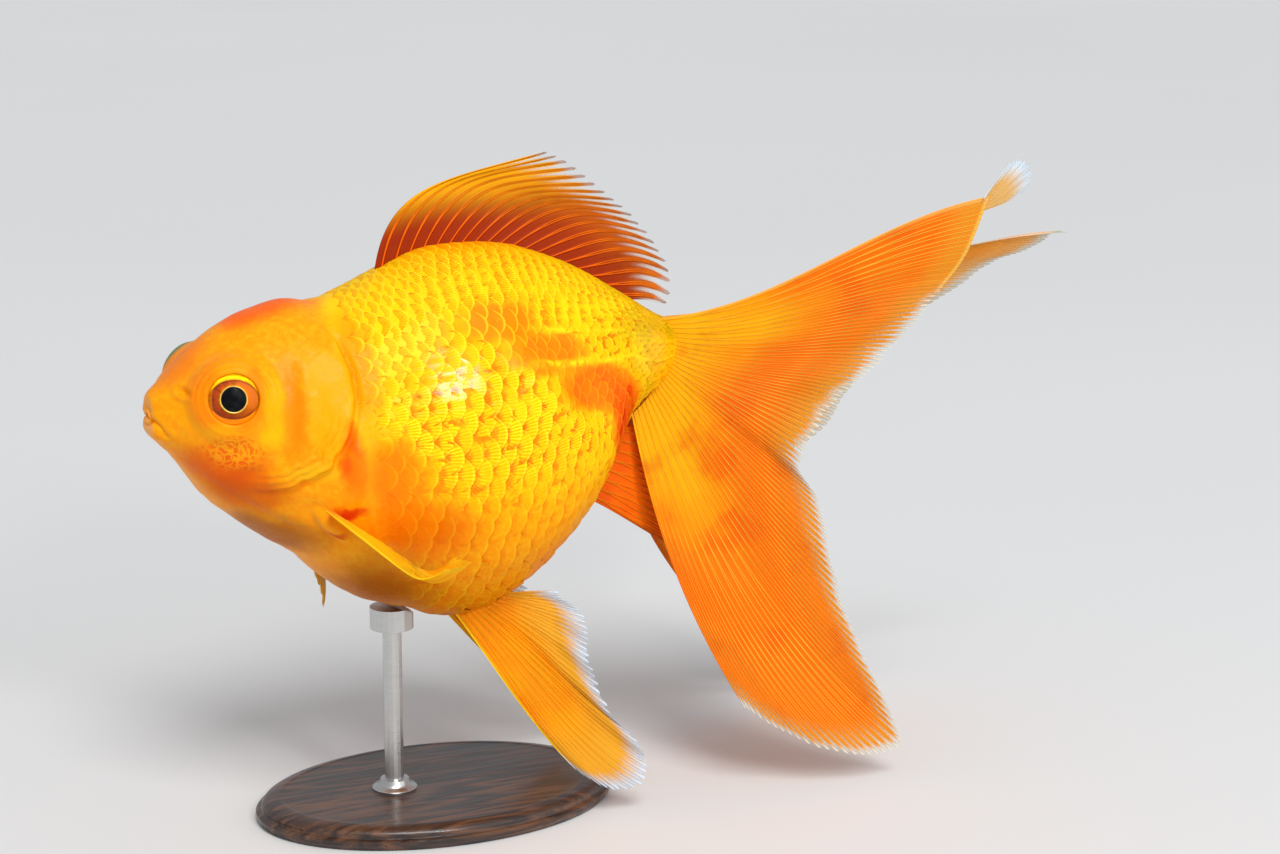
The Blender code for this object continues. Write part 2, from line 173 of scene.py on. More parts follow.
def to_world(points: Array) -> Array:
    """Turns millimetres about the fish's axis into metres above the floor."""
    return (points + np.array([0.0, 0.0, AXIS_HEIGHT])) * MM


def mesh_from(name: str, points: Array, faces: list[Array], smooth_angle: float = 180.0) -> bpy.types.Mesh:
    """Makes a smooth mesh from arrays.

    Args:
        name: The mesh's name.
        points: Rows of world coordinates, in metres.
        faces: Arrays of corner indices, each of one corner count.
        smooth_angle: Edges sharper than this, in degrees, stay sharp.

    Returns:
        The mesh.
    """
    mesh = bpy.data.meshes.new(name)
    corners = np.concatenate([f.reshape(-1) for f in faces])
    sizes = np.concatenate([np.full(len(f), f.shape[1]) for f in faces])
    mesh.vertices.add(len(points))
    mesh.vertices.foreach_set("co", points.astype(np.float32).ravel())
    mesh.loops.add(len(corners))
    mesh.loops.foreach_set("vertex_index", corners.astype(np.int32))
    mesh.polygons.add(len(sizes))
    mesh.polygons.foreach_set("loop_start", (np.cumsum(sizes) - sizes).astype(np.int32))
    mesh.update(calc_edges=True)
    mesh.validate()
    mesh.shade_smooth()
    if smooth_angle < 180.0:
        mesh.set_sharp_from_angle(angle=math.radians(smooth_angle))
    return mesh


def add_map(mesh: bpy.types.Mesh, name: str, places: Array) -> None:
    """Adds a UV map from one pair of numbers a vertex.

    Args:
        mesh: The mesh.
        name: The map's name.
        places: One pair a vertex.
    """
    corners = np.empty(len(mesh.loops), np.int32)
    mesh.loops.foreach_get("vertex_index", corners)
    layer = mesh.uv_layers.new(name=name)
    layer.data.foreach_set("uv", places[corners].astype(np.float32).ravel())


def add_value(mesh: bpy.types.Mesh, name: str, values: Array) -> None:
    """Adds one number a vertex under a name that a finish reads."""
    mesh.attributes.new(name, "FLOAT", "POINT").data.foreach_set("value", values.astype(np.float32).ravel())


def grid_faces(rows: int, columns: int, wrap: bool = False) -> Array:
    """Corner indices of the quads of a grid whose vertices run row by row.

    Args:
        rows: How many rows of vertices.
        columns: How many vertices in a row.
        wrap: Whether the last column joins the first.

    Returns:
        Rows of four vertex indices.
    """
    across = columns if wrap else columns - 1
    r, c = np.meshgrid(np.arange(rows - 1), np.arange(across), indexing="ij")
    n = (c + 1) % columns
    here = r * columns
    return np.stack([here + c, here + n, here + columns + n, here + columns + c], -1).reshape(-1, 4)


def grid_border(rows: int, columns: int) -> Array:
    """Walks round the edge of a grid.

    Args:
        rows: How many rows of vertices.
        columns: How many vertices in a row.

    Returns:
        The vertices on the edge, in order.
    """
    top = np.arange(columns)
    right = np.arange(1, rows) * columns + columns - 1
    bottom = (rows - 1) * columns + np.arange(columns - 2, -1, -1)
    left = np.arange(rows - 2, 0, -1) * columns
    return np.concatenate([top, right, bottom, left])


def grid_normals(points: Array) -> Array:
    """Finds a grid's normals from its own rows and columns.

    Args:
        points: A grid of points.

    Returns:
        A grid of unit vectors.
    """
    across = np.gradient(points, axis=1)
    along = np.gradient(points, axis=0)
    normal = np.cross(along, across)
    return normal / np.maximum(np.linalg.norm(normal, axis=-1, keepdims=True), 1e-9)


def slab_faces(rows: int, columns: int) -> Array:
    """Closes a slab between two like grids.

    Args:
        rows: Rows of vertices in each grid.
        columns: Vertices in a row.

    Returns:
        Quads of four vertex indices; the upper grid's vertices come first.
    """
    faces = grid_faces(rows, columns)
    count = rows * columns
    edge = grid_border(rows, columns)
    after = np.roll(edge, -1)
    rim = np.stack([edge, edge + count, after + count, after], -1)
    return np.concatenate([faces[:, ::-1], faces + count, rim])


def capped(rings: Array) -> tuple[Array, list[Array]]:
    """Joins closed rings, given one after another, and closes both ends at a pole.

    Args:
        rings: Rings by points by three.

    Returns:
        Points, and the face arrays.
    """
    rows, columns = rings.shape[:2]
    here = np.arange(columns)
    after = (here + 1) % columns
    base = (rows - 1) * columns
    start = np.stack([np.full(columns, rows * columns), after, here], -1)
    end = np.stack([np.full(columns, rows * columns + 1), base + here, base + after], -1)
    points = np.concatenate([rings.reshape(-1, 3), rings[[0, -1]].mean(axis=1)])
    return points, [grid_faces(rows, columns, wrap=True), start, end]


def lathe(profile: Array, segments: int) -> tuple[Array, list[Array]]:
    """Turns an outline about the Z axis and closes both ends.

    Args:
        profile: Rows of radius and height.
        segments: How many steps the turn has.

    Returns:
        Points, and the face arrays.
    """
    turn = np.arange(segments) * 2 * math.pi / segments
    radius, height = profile[:, :1], profile[:, 1:]
    return capped(np.stack([radius * np.cos(turn), radius * np.sin(turn), height + 0 * turn], -1))


def stood(name: str, data: bpy.types.ID) -> bpy.types.Object:
    """Makes an object and adds it to the scene.

    Args:
        name: Its name.
        data: Its mesh, lamp or camera.

    Returns:
        The object.
    """
    thing = bpy.data.objects.new(name, data)
    bpy.context.scene.collection.objects.link(thing)
    return thing


def settle(
    name: str, mesh: bpy.types.Mesh, finish: bpy.types.Material, slot: Slot, replaced: tuple[str, ...] = ()
) -> bpy.types.Object:
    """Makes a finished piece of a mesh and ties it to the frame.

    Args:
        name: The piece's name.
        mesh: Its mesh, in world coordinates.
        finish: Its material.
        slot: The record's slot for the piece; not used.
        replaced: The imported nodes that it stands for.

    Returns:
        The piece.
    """
    mesh.materials.append(finish)
    piece = stood(name, mesh)
    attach(piece, "root")
    if replaced:
        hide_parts(*replaced)
    log.info("%s: %d faces", name, len(mesh.polygons))
    return piece


# ---------------------------------------------------------------- shader nodes


@dataclass(frozen=True)
class Wire:
    """A shader node's output, with arithmetic that lays Math nodes."""

    graph: Graph
    socket: Socket

    def __add__(self, other: Any) -> Wire:
        """Adds a number or another output."""
        return self.graph.math("ADD", self, other)

    def __sub__(self, other: Any) -> Wire:
        """Takes away a number or another output."""
        return self.graph.math("SUBTRACT", self, other)

    def __rsub__(self, other: float) -> Wire:
        """Takes this output away from a number."""
        return self.graph.math("SUBTRACT", other, self)

    def __mul__(self, other: Any) -> Wire:
        """Multiplies by a number or another output."""
        return self.graph.math("MULTIPLY", self, other)

    def __truediv__(self, other: Any) -> Wire:
        """Divides by a number or another output."""
        return self.graph.math("DIVIDE", self, other)

    def __abs__(self) -> Wire:
        """Drops the sign."""
        return self.graph.math("ABSOLUTE", self)

    def between(self, low: float, high: float, bottom: float = 0.0, top: float = 1.0) -> Wire:
        """Maps the output smoothly from one span to another."""
        plugs = dict(enumerate((self, low, high, bottom, top)))
        return self.graph.lay("MapRange", plugs, interpolation_type="SMOOTHSTEP")

    def tinted(self, share: Any, colour: Any) -> Wire:
        """Mixes a share of another colour into this one."""
        return self.graph.blend(share, self, colour)


class Graph:
    """Short ways to lay and join nodes in one tree."""

    def __init__(self, tree: bpy.types.NodeTree) -> None:
        """Starts on a tree."""
        self.tree = tree

    def plug(self, socket: Socket, value: Any) -> None:
        """Fills a socket.

        Args:
            socket: The socket.
            value: An output to link to it, or its number, vector or colour.
        """
        if isinstance(value, Wire):
            self.tree.links.new(value.socket, socket)
        elif socket.type == "RGBA" and len(value) == 3:
            socket.default_value = (*value, 1.0)
        else:
            socket.default_value = value

    def lay(self, kind: str, plugs: dict[int | str, Any], out: int | str = 0, **settings: Any) -> Wire:
        """Adds a node.

        Args:
            kind: The end of the node's type name.
            plugs: What each of its inputs gets, by number or name.
            out: Which output to give back.
            **settings: Its properties.

        Returns:
            The output.
        """
        node = self.tree.nodes.new(f"ShaderNode{kind}")
        for key, value in settings.items():
            setattr(node, key, value)
        for key, value in plugs.items():
            self.plug(node.inputs[key], value)
        return Wire(self, node.outputs[out])

    def math(
        self, operation: str, first: Any, second: Any = 0.0, third: Any = 0.5, clamp: bool = False
    ) -> Wire:
        """Adds a Math node."""
        return self.lay("Math", {0: first, 1: second, 2: third}, operation=operation, use_clamp=clamp)

    def vector(self, operation: str, first: Any, second: Any = NOWHERE, third: Any = NOWHERE) -> Wire:
        """Adds a Vector Math node; a length or a distance comes out as a number."""
        out = 1 if operation in ("LENGTH", "DISTANCE") else 0
        return self.lay("VectorMath", {0: first, 1: second, 2: third}, out, operation=operation)

    def radius(self, spot: Any, centre: Place, reach: Place) -> Wire:
        """Measures from the middle of an ellipsoid, as 1 on its surface."""
        return self.vector("LENGTH", self.vector("DIVIDE", self.vector("SUBTRACT", spot, centre), reach))

    def blend(self, share: Any, first: Any, second: Any) -> Wire:
        """Mixes two colours by a share."""
        return self.lay("Mix", {0: share, 6: first, 7: second}, 2, data_type="RGBA")

    def noise(
        self, place: Any, scale: float, detail: float = 2.0, roughness: float = 0.5, out: str = "Fac"
    ) -> Wire:
        """Adds a Noise Texture."""
        plugs = {"Vector": place, "Scale": scale, "Detail": detail, "Roughness": roughness}
        return self.lay("TexNoise", plugs, out)

    def cells(self, place: Any, scale: float) -> Wire:
        """Adds a Voronoi Texture and gives the distance to its edges."""
        plugs = {"Vector": place, "Scale": scale}
        return self.lay("TexVoronoi", plugs, "Distance", feature="DISTANCE_TO_EDGE")

    def ramp(self, value: Any, stops: list[tuple[float, Colour]]) -> Wire:
        """Adds a Color Ramp.

        Args:
            value: What picks the colour.
            stops: Positions and colours, in order.

        Returns:
            The colour.
        """
        colour = self.lay("ValToRGB", {0: value})
        band = colour.socket.node.color_ramp
        band.interpolation = "EASE"
        while len(band.elements) < len(stops):
            band.elements.new(1.0)
        for point, (position, shade) in zip(band.elements, stops):
            point.position = position
            point.color = (*shade, 1.0)
        return colour

    def value(self, name: str) -> Wire:
        """Reads a number stored on the mesh."""
        return self.lay("Attribute", {}, "Fac", attribute_name=name)

    def coordinates(self) -> Wire:
        """Reads the place in metres."""
        return self.lay("TexCoord", {}, "Object")

    def grain(self, stretch: Place, detail: float = 2.0, roughness: float = 0.5) -> Wire:
        """Adds noise that is stretched along some axes, by features a metre on each."""
        return self.noise(self.vector("MULTIPLY", self.coordinates(), stretch), 1.0, detail, roughness)

    def split(self, vector: Any) -> tuple[Wire, Wire, Wire]:
        """Takes a vector apart."""
        x = self.lay("SeparateXYZ", {0: vector})
        return x, *(Wire(self, x.socket.node.outputs[index]) for index in (1, 2))

    def join(self, *parts: Wire) -> Wire:
        """Puts a vector together."""
        return self.lay("CombineXYZ", dict(enumerate(parts)))

    def map(self, name: str) -> tuple[Wire, Wire]:
        """Reads the two coordinates of a UV map."""
        return self.split(self.lay("UVMap", {}, uv_map=name))[:2]

    def group(self, tree: bpy.types.NodeTree, **values: Any) -> dict[str, Wire]:
        """Places a node group.

        Args:
            tree: The group.
            **values: What each of its inputs gets, by name.

        Returns:
            Its outputs by name.
        """
        node = self.tree.nodes.new("ShaderNodeGroup")
        node.node_tree = tree
        for key, value in values.items():
            self.plug(node.inputs[key], value)
        return {socket.name: Wire(self, socket) for socket in node.outputs}

    def bump(self, height: Any, distance: float) -> Wire:
        """Adds a Bump node and gives its normal."""
        return self.lay("Bump", {"Distance": distance, "Height": height})


class Paint(Graph):
    """A material round one Principled shader, whose inputs are named with underscores for spaces."""

    def __init__(self, name: str, **values: Any) -> None:
        """Makes the material.

        Args:
            name: Its name.
            **values: The inputs that are the same all over it.
        """
        self.material = bpy.data.materials.new(name)
        self.material.use_nodes = True
        super().__init__(self.material.node_tree)
        self.finish(**values)

    def finish(self, **values: Any) -> bpy.types.Material:
        """Sets or plugs the shader's inputs.

        Args:
            **values: What each gets, by name.

        Returns:
            The material.
        """
        shader = self.tree.nodes["Principled BSDF"]
        for key, value in values.items():
            self.plug(shader.inputs[key.replace("_", " ")], value)
        return self.material


class Group(Graph):
    """A shader node group, with numbers in and named outputs."""

    def __init__(self, name: str, inputs: tuple[str, ...], outputs: dict[str, str]) -> None:
        """Makes the group's sockets.

        Args:
            name: The group's name.
            inputs: Names of its numbers.
            outputs: Names of its outputs, with their kinds.
        """
        super().__init__(bpy.data.node_groups.new(name, "ShaderNodeTree"))
        for way, sockets in (("INPUT", dict.fromkeys(inputs, "Float")), ("OUTPUT", outputs)):
            for key, kind in sockets.items():
                self.tree.interface.new_socket(key, in_out=way, socket_type=f"NodeSocket{kind}")
        entry = self.tree.nodes.new("NodeGroupInput")
        self.given = {key: Wire(self, entry.outputs[key]) for key in inputs}
        self.leave = self.tree.nodes.new("NodeGroupOutput")

    def finish(self, **values: Any) -> bpy.types.NodeTree:
        """Plugs the outputs.

        Args:
            **values: What each gets, by name.

        Returns:
            The group.
        """
        for key, value in values.items():
            self.plug(self.leave.inputs[key], value)
        return self.tree


# ---------------------------------------------------------------- the markings


@dataclass(frozen=True)
class Patch:
    """A soft-edged area of colour, the same on both flanks, in millimetres."""

    centre: Place
    reach: Place
    colour: Colour
    strength: float = 0.8
    core: float = 0.35


PATCHES = tuple(
    Patch(centre, reach, tint(*colour), *rest) for centre, reach, colour, *rest in (
        ((-47.0, 0.0, 21.0), (9.0, 8.0, 7.0), (255, 126, 4), 0.75),
        ((-35.0, 0.0, 29.5), (17.0, 9.0, 5.5), (255, 96, 0), 0.9),
        ((-42.0, 13.0, 2.5), (11.5, 12.0, 8.5), (222, 76, 0), 0.9, 0.15),
        ((-39.0, 14.0, -2.0), (11.0, 14.0, 5.5), (210, 84, 4), 0.75),
        ((-46.0, 8.5, 3.6), (6.5, 9.0, 5.0), (236, 98, 2), 0.75, 0.15),
        ((-47.0, 9.5, 12.6), (3.8, 6.0, 4.0), (255, 162, 0), 0.8),
        ((-41.0, 12.0, 16.0), (8.4, 9.0, 7.6), (255, 128, 0), 0.75, 0.7),
        ((-40.2, 13.0, 20.9), (5.4, 6.0, 2.2), (255, 158, 0), 0.9),
        ((-34.0, 16.0, 14.5), (2.9, 7.0, 8.0), (255, 174, 0), 0.85),
        ((-35.2, 16.0, 9.2), (3.4, 6.0, 2.8), (255, 190, 0), 0.75, 0.1),
        ((-43.6, 13.0, 10.2), (4.4, 6.0, 1.9), (255, 168, 0), 0.8),
        ((-30.8, 16.0, 13.0), (3.0, 9.0, 12.5), (255, 130, 0), 0.8),
        ((-25.4, 17.0, 17.5), (5.0, 9.0, 9.5), (255, 168, 0), 0.85),
        ((-25.6, 19.0, 9.0), (4.4, 9.0, 6.5), (255, 168, 0), 0.75),
        ((-29.0, 19.0, 2.6), (6.5, 8.0, 2.6), (238, 176, 14), 0.85),
        ((-18.8, 14.0, 19.0), (4.8, 14.0, 18.0), (252, 154, 0), 0.9),
        ((-8.0, 19.0, -9.0), (14.0, 10.0, 9.0), (222, 104, 2), 0.8),
        ((-21.6, 20.0, 4.0), (3.0, 6.0, 9.0), (246, 112, 0), 0.85),
        ((-21.4, 20.0, 8.6), (1.7, 5.0, 4.6), (240, 94, 0), 0.8, 0.15),
        ((-23.6, 20.0, 4.0), (1.9, 5.0, 3.6), (232, 80, 0), 0.8, 0.15),
        # painted shade: dark red-orange above and below the fleshy root of the pectoral fin, round its
        # lighter knob
        ((-22.4, 20.0, -5.0), (3.6, 4.5, 1.8), (214, 34, 8), 0.9),
        ((-26.0, 19.0, -9.6), (4.2, 5.0, 2.6), (206, 62, 4), 0.8),
        ((-24.7, 19.0, -7.3), (3.0, 5.0, 2.2), (255, 160, 10), 0.9, 0.6),
        # the throat and the front of the belly: partly their own deeper orange, partly painted shade of the
        # underside
        ((-36.0, 8.0, -10.5), (18.0, 15.0, 7.0), (176, 96, 4), 0.9),
        ((-15.0, 14.0, -21.5), (15.0, 17.0, 12.0), (158, 74, 2), 0.85, 0.1),
        ((22.0, 10.0, -20.0), (14.0, 16.0, 9.0), (240, 132, 8), 0.8),
        ((-14.5, 19.0, 0.5), (9.5, 9.0, 12.0), (240, 112, 0), 0.85),
        ((17.0, 17.0, 19.8), (16.0, 10.0, 6.0), (255, 112, 0), 0.92),
        ((26.0, 16.0, 12.2), (15.0, 10.0, 6.2), (250, 98, 0), 0.95),
        ((34.0, 12.0, 7.0), (9.0, 9.0, 8.5), (246, 92, 4), 0.95),
        ((33.6, 12.0, 4.0), (6.4, 9.0, 10.5), (216, 12, 0), 0.95, 0.4),
        ((8.5, 15.0, 25.6), (13.0, 9.0, 5.4), (255, 124, 0), 0.9),
        ((44.0, 6.0, 14.0), (4.8, 8.0, 9.5), (255, 164, 0), 0.95),
        ((12.0, 0.0, 38.5), (24.0, 7.0, 5.0), (255, 148, 0), 0.7),
        ((43.0, 0.0, 21.5), (8.0, 9.0, 6.5), (255, 180, 0), 0.9),
    )
)
FAR_EYE_PAINTED_REFLECTION = (-43.6, 13.4, 19.6)  # painted light: grey-green on the skin at the rim of the right eye, for the surroundings seen through the edge of its clear dome
CHEEK_CENTRE = (-40.6, 13.0, 6.6)  # of the net of light lines
CHEEK_REACH = (8.5, 9.0, 4.6)
WET_SPOTS = ((-2.8, -19.9, 18.0), (40.3, -7.6, 16.6))  # where the scales shine most
HEAD_COLOUR = tint(255, 152, 0)
FLANK_STOPS = (  # height in millimetres, colour
    (-31.0, tint(206, 108, 6)),
    (-19.0, tint(232, 138, 4)),
    (-9.0, tint(246, 158, 0)),
    (2.0, tint(255, 180, 0)),
    (13.0, tint(255, 200, 0)),
    (22.0, tint(255, 212, 0)),
    (31.0, tint(255, 202, 0)),
    (39.0, tint(255, 178, 0)),
)


class Markings:
    """Builds the node groups that more than one finish uses."""

    @cached_property
    def place(self) -> bpy.types.NodeTree:
        """Places on the fish in millimetres: folded to one flank, plain, and wavy.

        Returns:
            The group.
        """
        graph = Group("place on the fish", (), {"Folded": "Vector", "Plain": "Vector", "Wavy": "Vector"})
        lowered = graph.vector("SUBTRACT", graph.coordinates(), (0.0, 0.0, AXIS_HEIGHT * MM))
        plain = graph.lay("VectorMath", {0: lowered, "Scale": 1.0 / MM}, operation="SCALE")
        x, y, z = graph.split(plain)
        drift = graph.noise(plain, 0.55, out="Color")
        wavy = graph.vector("MULTIPLY_ADD", drift, (2.2, 2.2, 2.2), plain)
        return graph.finish(Folded=graph.join(x, abs(y), z), Plain=plain, Wavy=wavy)

    @cached_property
    def colours(self) -> bpy.types.NodeTree:
        """The body's colour, and how golden and how net-like each place is.

        Returns:
            The group.
        """
        kinds = {"Colour": "Color", "Gold": "Float", "Net": "Float", "Cheek": "Float"}
        graph = Group("goldfish colours", (), kinds)
        place = graph.group(self.place)
        plain = place["Plain"]
        wander = graph.noise(plain, 0.22, 3.0, out="Color")
        push = graph.vector("MULTIPLY_ADD", wander, (3.6, 3.6, 3.6), (-1.8, -1.8, -1.8))
        spot = graph.vector("ADD", place["Folded"], push)
        x, _, z = graph.split(spot)
        low, high = FLANK_STOPS[0][0], FLANK_STOPS[-1][0]
        rise = graph.lay("MapRange", {0: z, 1: low, 2: high})
        colour = graph.ramp(rise, [((height - low) / (high - low), shade) for height, shade in FLANK_STOPS])
        colour = colour.tinted(x.between(-18.5, -24.0), HEAD_COLOUR)
        fine = graph.noise(plain, 0.9, 4.0, 0.6)
        colour = colour.tinted(fine.between(0.35, 0.75, 0.0, 0.22), tint(255, 226, 40))
        for patch in PATCHES:
            away = graph.radius(spot, patch.centre, patch.reach)
            colour = colour.tinted(away.between(1.0, patch.core, 0.0, patch.strength), patch.colour)
        # painted light: grey-green at the right eye's rim, for the surroundings seen through its clear dome
        rim = graph.vector("DISTANCE", plain, FAR_EYE_PAINTED_REFLECTION)
        colour = colour.tinted(rim.between(6.2, 3.8, 0.0, 0.9), tint(66, 130, 84))
        flecks = graph.noise(plain, 2.6, 3.0, 0.6)
        colour = colour.tinted(flecks.between(0.55, 0.8, 0.0, 0.25), tint(238, 96, 6))
        body = x.between(-22.0, -14.0)
        yellow = graph.lay("SeparateColor", {0: colour}, 1).between(0.27, 0.53)
        nape = x.between(42.0, 24.0) * x.between(10.0, -12.0, 0.55, 1.0)
        above = graph.math("MULTIPLY_ADD", x, -0.25, z).between(11.0, 26.0)
        return graph.finish(
            Colour=colour,
            Gold=body * z.between(-16.0, 4.0) * yellow,
            Net=nape * above * body,
            Cheek=graph.radius(spot, CHEEK_CENTRE, CHEEK_REACH).between(1.0, 0.2),
        )

    @cached_property
    def pores(self) -> bpy.types.NodeTree:
        """The fine relief of wet skin.

        Returns:
            The group.
        """
        graph = Group("skin grain", ("Cheek",), {"Height": "Float"})
        place = graph.group(self.place)
        soft = graph.noise(place["Plain"], 0.7, 4.0, 0.55)
        fine = graph.noise(place["Plain"], 5.5)
        net = graph.cells(place["Wavy"], 0.8).between(0.0, 0.30, 0.5, 0.0)
        return graph.finish(Height=soft * 0.8 + fine * 0.16 + net * graph.given["Cheek"])

    @cached_property
    def rays(self) -> bpy.types.NodeTree:
        """The branching rays of a fin and their joints, from the fin's own map.

        Returns:
            The group.
        """
        shape = Branching()
        inputs = ("Across", "Along", "Rim", "Rays", "Split", "Width", "Tooth")
        graph = Group("fin rays", inputs, {"Ray": "Float", "Tooth": "Float", "Joint": "Float"})
        across, along, rim, rays, split, wide, tooth = graph.given.values()
        off = abs(graph.math("FRACT", across * rays) - 0.5)
        for share, span in ((0.25, shape.first), (0.125, shape.second)):
            off = abs(off - along.between(*span, 0.0, share) * split)
        ends = (off / tooth).between(1.15, 0.85)
        off = abs(off - along.between(*shape.third, 0.0, 0.0625) * split)
        thinner = shape.line_tip_width - shape.line_root_width
        width = graph.math("MULTIPLY_ADD", graph.math("SQRT", along), thinner, shape.line_root_width)
        joint = graph.math("SINE", rim * 10.5).between(0.2, 0.95)
        return graph.finish(Ray=(off / (width * wide)).between(1.0, 0.25), Tooth=ends, Joint=joint)


MARKINGS = Markings()


# ---------------------------------------------------------------- the body's surface


@dataclass(frozen=True)
class EyeSeat:
    """Where one eye sits and which way it looks, in millimetres about the fish's axis."""

    side: Side
    centre: Place
    look: Place
    radius: float
    lift: float = 4.6  # how far from the opening the skin rises to its rim
    opening: float = 0.875  # radius of the opening, as a share of the eyeball's
    depth: float = 2.6  # of the socket inside the opening
    fold: float = 0.13  # height of the folds round the opening
    fold_pitch: float = 0.95

    @property
    def middle(self) -> Array:
        """The centre of the eyeball."""
        return np.array(self.centre)

    @property
    def axis(self) -> Array:
        """The unit direction that the pupil faces."""
        way = np.array(self.look)
        return way / np.linalg.norm(way)


EYES = {
    Side.LEFT: EyeSeat(Side.LEFT, (-39.8, -11.2, 15.2), (-0.36, -0.91, 0.20), 5.0),
    Side.RIGHT: EyeSeat(Side.RIGHT, (-40.6, 9.9, 15.5), (-0.36, 0.91, 0.20), 5.0, 2.6),
}


# x and z of lines and spots on the flank, in millimetres about the fish's axis
LIPS = np.array([(-54.5, 11.6), (-52.2, 10.9), (-51.2, 9.8), (-50.3, 8.4)])
MOUTH_FOLD = np.array([(-50.2, 8.0), (-49.0, 6.4), (-48.4, 4.4)])
CHEEK_EDGE = np.array(
    [(-30.0, 24.5), (-30.6, 18.4), (-31.2, 13.5), (-31.8, 8.7), (-33.0, 5.0), (-36.5, 2.6), (-41.0, 2.0)]
)
GILL_EDGE = np.array([
    (-24.4, 27.2), (-21.9, 24.1), (-20.8, 19.5), (-20.8, 15.0), (-21.8, 11.0), (-23.4, 7.4), (-25.8, 3.8),
    (-29.3, 1.4), (-33.0, 0.0), (-38.5, -1.4),
])
JAW_LINE = np.array([(-47.0, 2.6), (-39.1, -3.2), (-32.8, -7.0), (-26.1, -11.0)])
SHOULDER = np.array([(-20.3, 9.5), (-21.0, 2.0), (-22.6, -3.0), (-24.4, -6.4)])
FLANK_FOLD = np.array(
    [(7.0, 24.5), (11.0, 21.2), (14.0, 18.0), (16.2, 14.0), (18.4, 9.8), (22.6, 5.6), (27.5, 0.5)]
)
MOUTH_CORNER = (-51.4, 8.4)
NOSTRIL = (-47.6, 16.3)
FIN_LOBE = (-24.7, -7.6)  # the fleshy root of the pectoral fin


@dataclass
class Body:
    """The loft of the body between its back line and its belly line, with the relief of the skin.

    A place on it is given as stations from the snout, and as the share of the way round one
    flank from the back, 0, to the belly, 1.
    """

    # top x, top z, low x, low z, half width, height of the widest, upper and lower squareness
    stations: tuple[tuple[float, ...], ...] = (
        (-52.0, 12.5, -51.9, 9.7, 1.7, 0.50, 2.0, 2.0),
        (-52.1, 15.0, -51.6, 7.4, 3.7, 0.50, 2.0, 2.0),
        (-49.0, 17.9, -47.4, 2.3, 8.0, 0.50, 2.0, 2.0),
        (-44.7, 22.0, -43.0, -4.0, 11.6, 0.48, 2.0, 2.0),
        (-39.0, 26.0, -37.8, -8.5, 14.6, 0.46, 2.0, 2.0),
        (-33.4, 28.4, -33.0, -12.2, 17.0, 0.45, 2.0, 2.0),
        (-27.0, 29.8, -27.0, -16.2, 19.3, 0.45, 2.0, 2.0),
        (-21.5, 29.8, -21.8, -21.2, 21.0, 0.45, 1.9, 2.1),
        (-15.5, 31.9, -16.0, -25.2, 22.6, 0.45, 1.85, 2.1),
        (-9.5, 34.6, -9.5, -27.6, 23.6, 0.44, 1.8, 2.15),
        (-2.0, 37.6, -1.5, -30.6, 24.2, 0.43, 1.8, 2.15),
        (7.0, 38.2, 6.5, -30.0, 24.2, 0.42, 1.8, 2.15),
        (15.0, 37.4, 14.0, -26.3, 23.2, 0.41, 1.8, 2.15),
        (22.0, 35.2, 21.0, -21.0, 21.0, 0.40, 1.8, 2.1),
        (28.0, 32.6, 27.4, -14.6, 17.8, 0.40, 1.8, 2.1),
        (33.0, 29.8, 32.3, -8.0, 14.0, 0.42, 1.9, 2.0),
        (37.0, 27.3, 35.6, -2.0, 10.6, 0.45, 2.0, 2.0),
        (41.0, 24.8, 38.6, 2.2, 8.2, 0.48, 2.0, 2.0),
        (45.0, 22.2, 43.2, 5.4, 6.4, 0.50, 2.0, 2.0),
        (49.0, 20.4, 48.0, 7.8, 3.6, 0.50, 2.0, 2.0),
    )
    orbit: tuple[float, float] = (-41.2, 16.1)  # x and z of the swelling round each eye
    orbit_rise: float = 3.4
    orbit_reach: float = 6.2
    head_depth: float = 0.15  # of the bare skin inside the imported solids
    coat_depth: float = 0.70  # of the skin under the scales
    # where the scales begin: share of the way round, stations from the snout
    scale_line: tuple[tuple[float, float], ...] = (
        (0.0, 7.05), (0.19, 6.95), (0.30, 7.05), (0.41, 7.12), (0.52, 7.24), (0.62, 7.50), (0.71, 8.0),
        (0.81, 8.5), (0.9, 8.9), (1.0, 9.2),
    )
    table_rows: int = 761
    table_columns: int = 321
    turn_samples: int = 600  # of a station's outline, to find its shares

    @property
    def last(self) -> int:
        """The number of the last station."""
        return len(self.stations) - 1

    def coat_start(self, share: Array) -> Array:
        """The station where the scales begin, at shares of the way round."""
        return np.interp(share, *zip(*self.scale_line))

    def plain(self, place: Array, angle: Array, side: Side) -> Array:
        """Gives points of the smooth loft.

        Args:
            place: Stations from the snout.
            angle: From 0 at the back to pi at the belly.
            side: Which flank.

        Returns:
            Rows of coordinates.
        """
        table = catmull(np.array(self.stations), place)
        top_x, top_z, low_x, low_z, half, widest, upper, lower = np.moveaxis(table, -1, 0)
        length = np.hypot(top_x - low_x, top_z - low_z)
        cosine, sine = np.cos(angle), np.clip(np.sin(angle), 0.0, 1.0)
        above = cosine > 0
        square = np.where(above, upper, lower)
        reach = length * np.where(above, 1.0 - widest, widest) * signed_power(cosine, 2.0 / square)
        share = widest + reach / length
        x = low_x + (top_x - low_x) * share
        z = low_z + (top_z - low_z) * share
        out = sine ** (2.0 / square)
        away = np.hypot(x - self.orbit[0], z - self.orbit[1]) / self.orbit_reach
        swelling = self.orbit_rise * (1.0 if side is Side.LEFT else 0.4)
        y = half * out + swelling * np.exp(-(away**4)) * np.sqrt(out)
        return np.stack([x, side.value * y, z], -1)

    def relief(self, points: Array, place: Array, share: Array) -> Array:
        """Gives how far the skin stands out of the smooth loft.

        Args:
            points: Points of the loft.
            place: Their stations.
            share: Their shares of the way round.

        Returns:
            Millimetres along the normal.
        """
        flat = points[..., [0, 2]]
        x, z = flat[..., 0], flat[..., 1]
        covered = smooth(-0.10, 0.32, place - self.coat_start(share))
        out = -self.head_depth - (self.coat_depth - self.head_depth) * covered

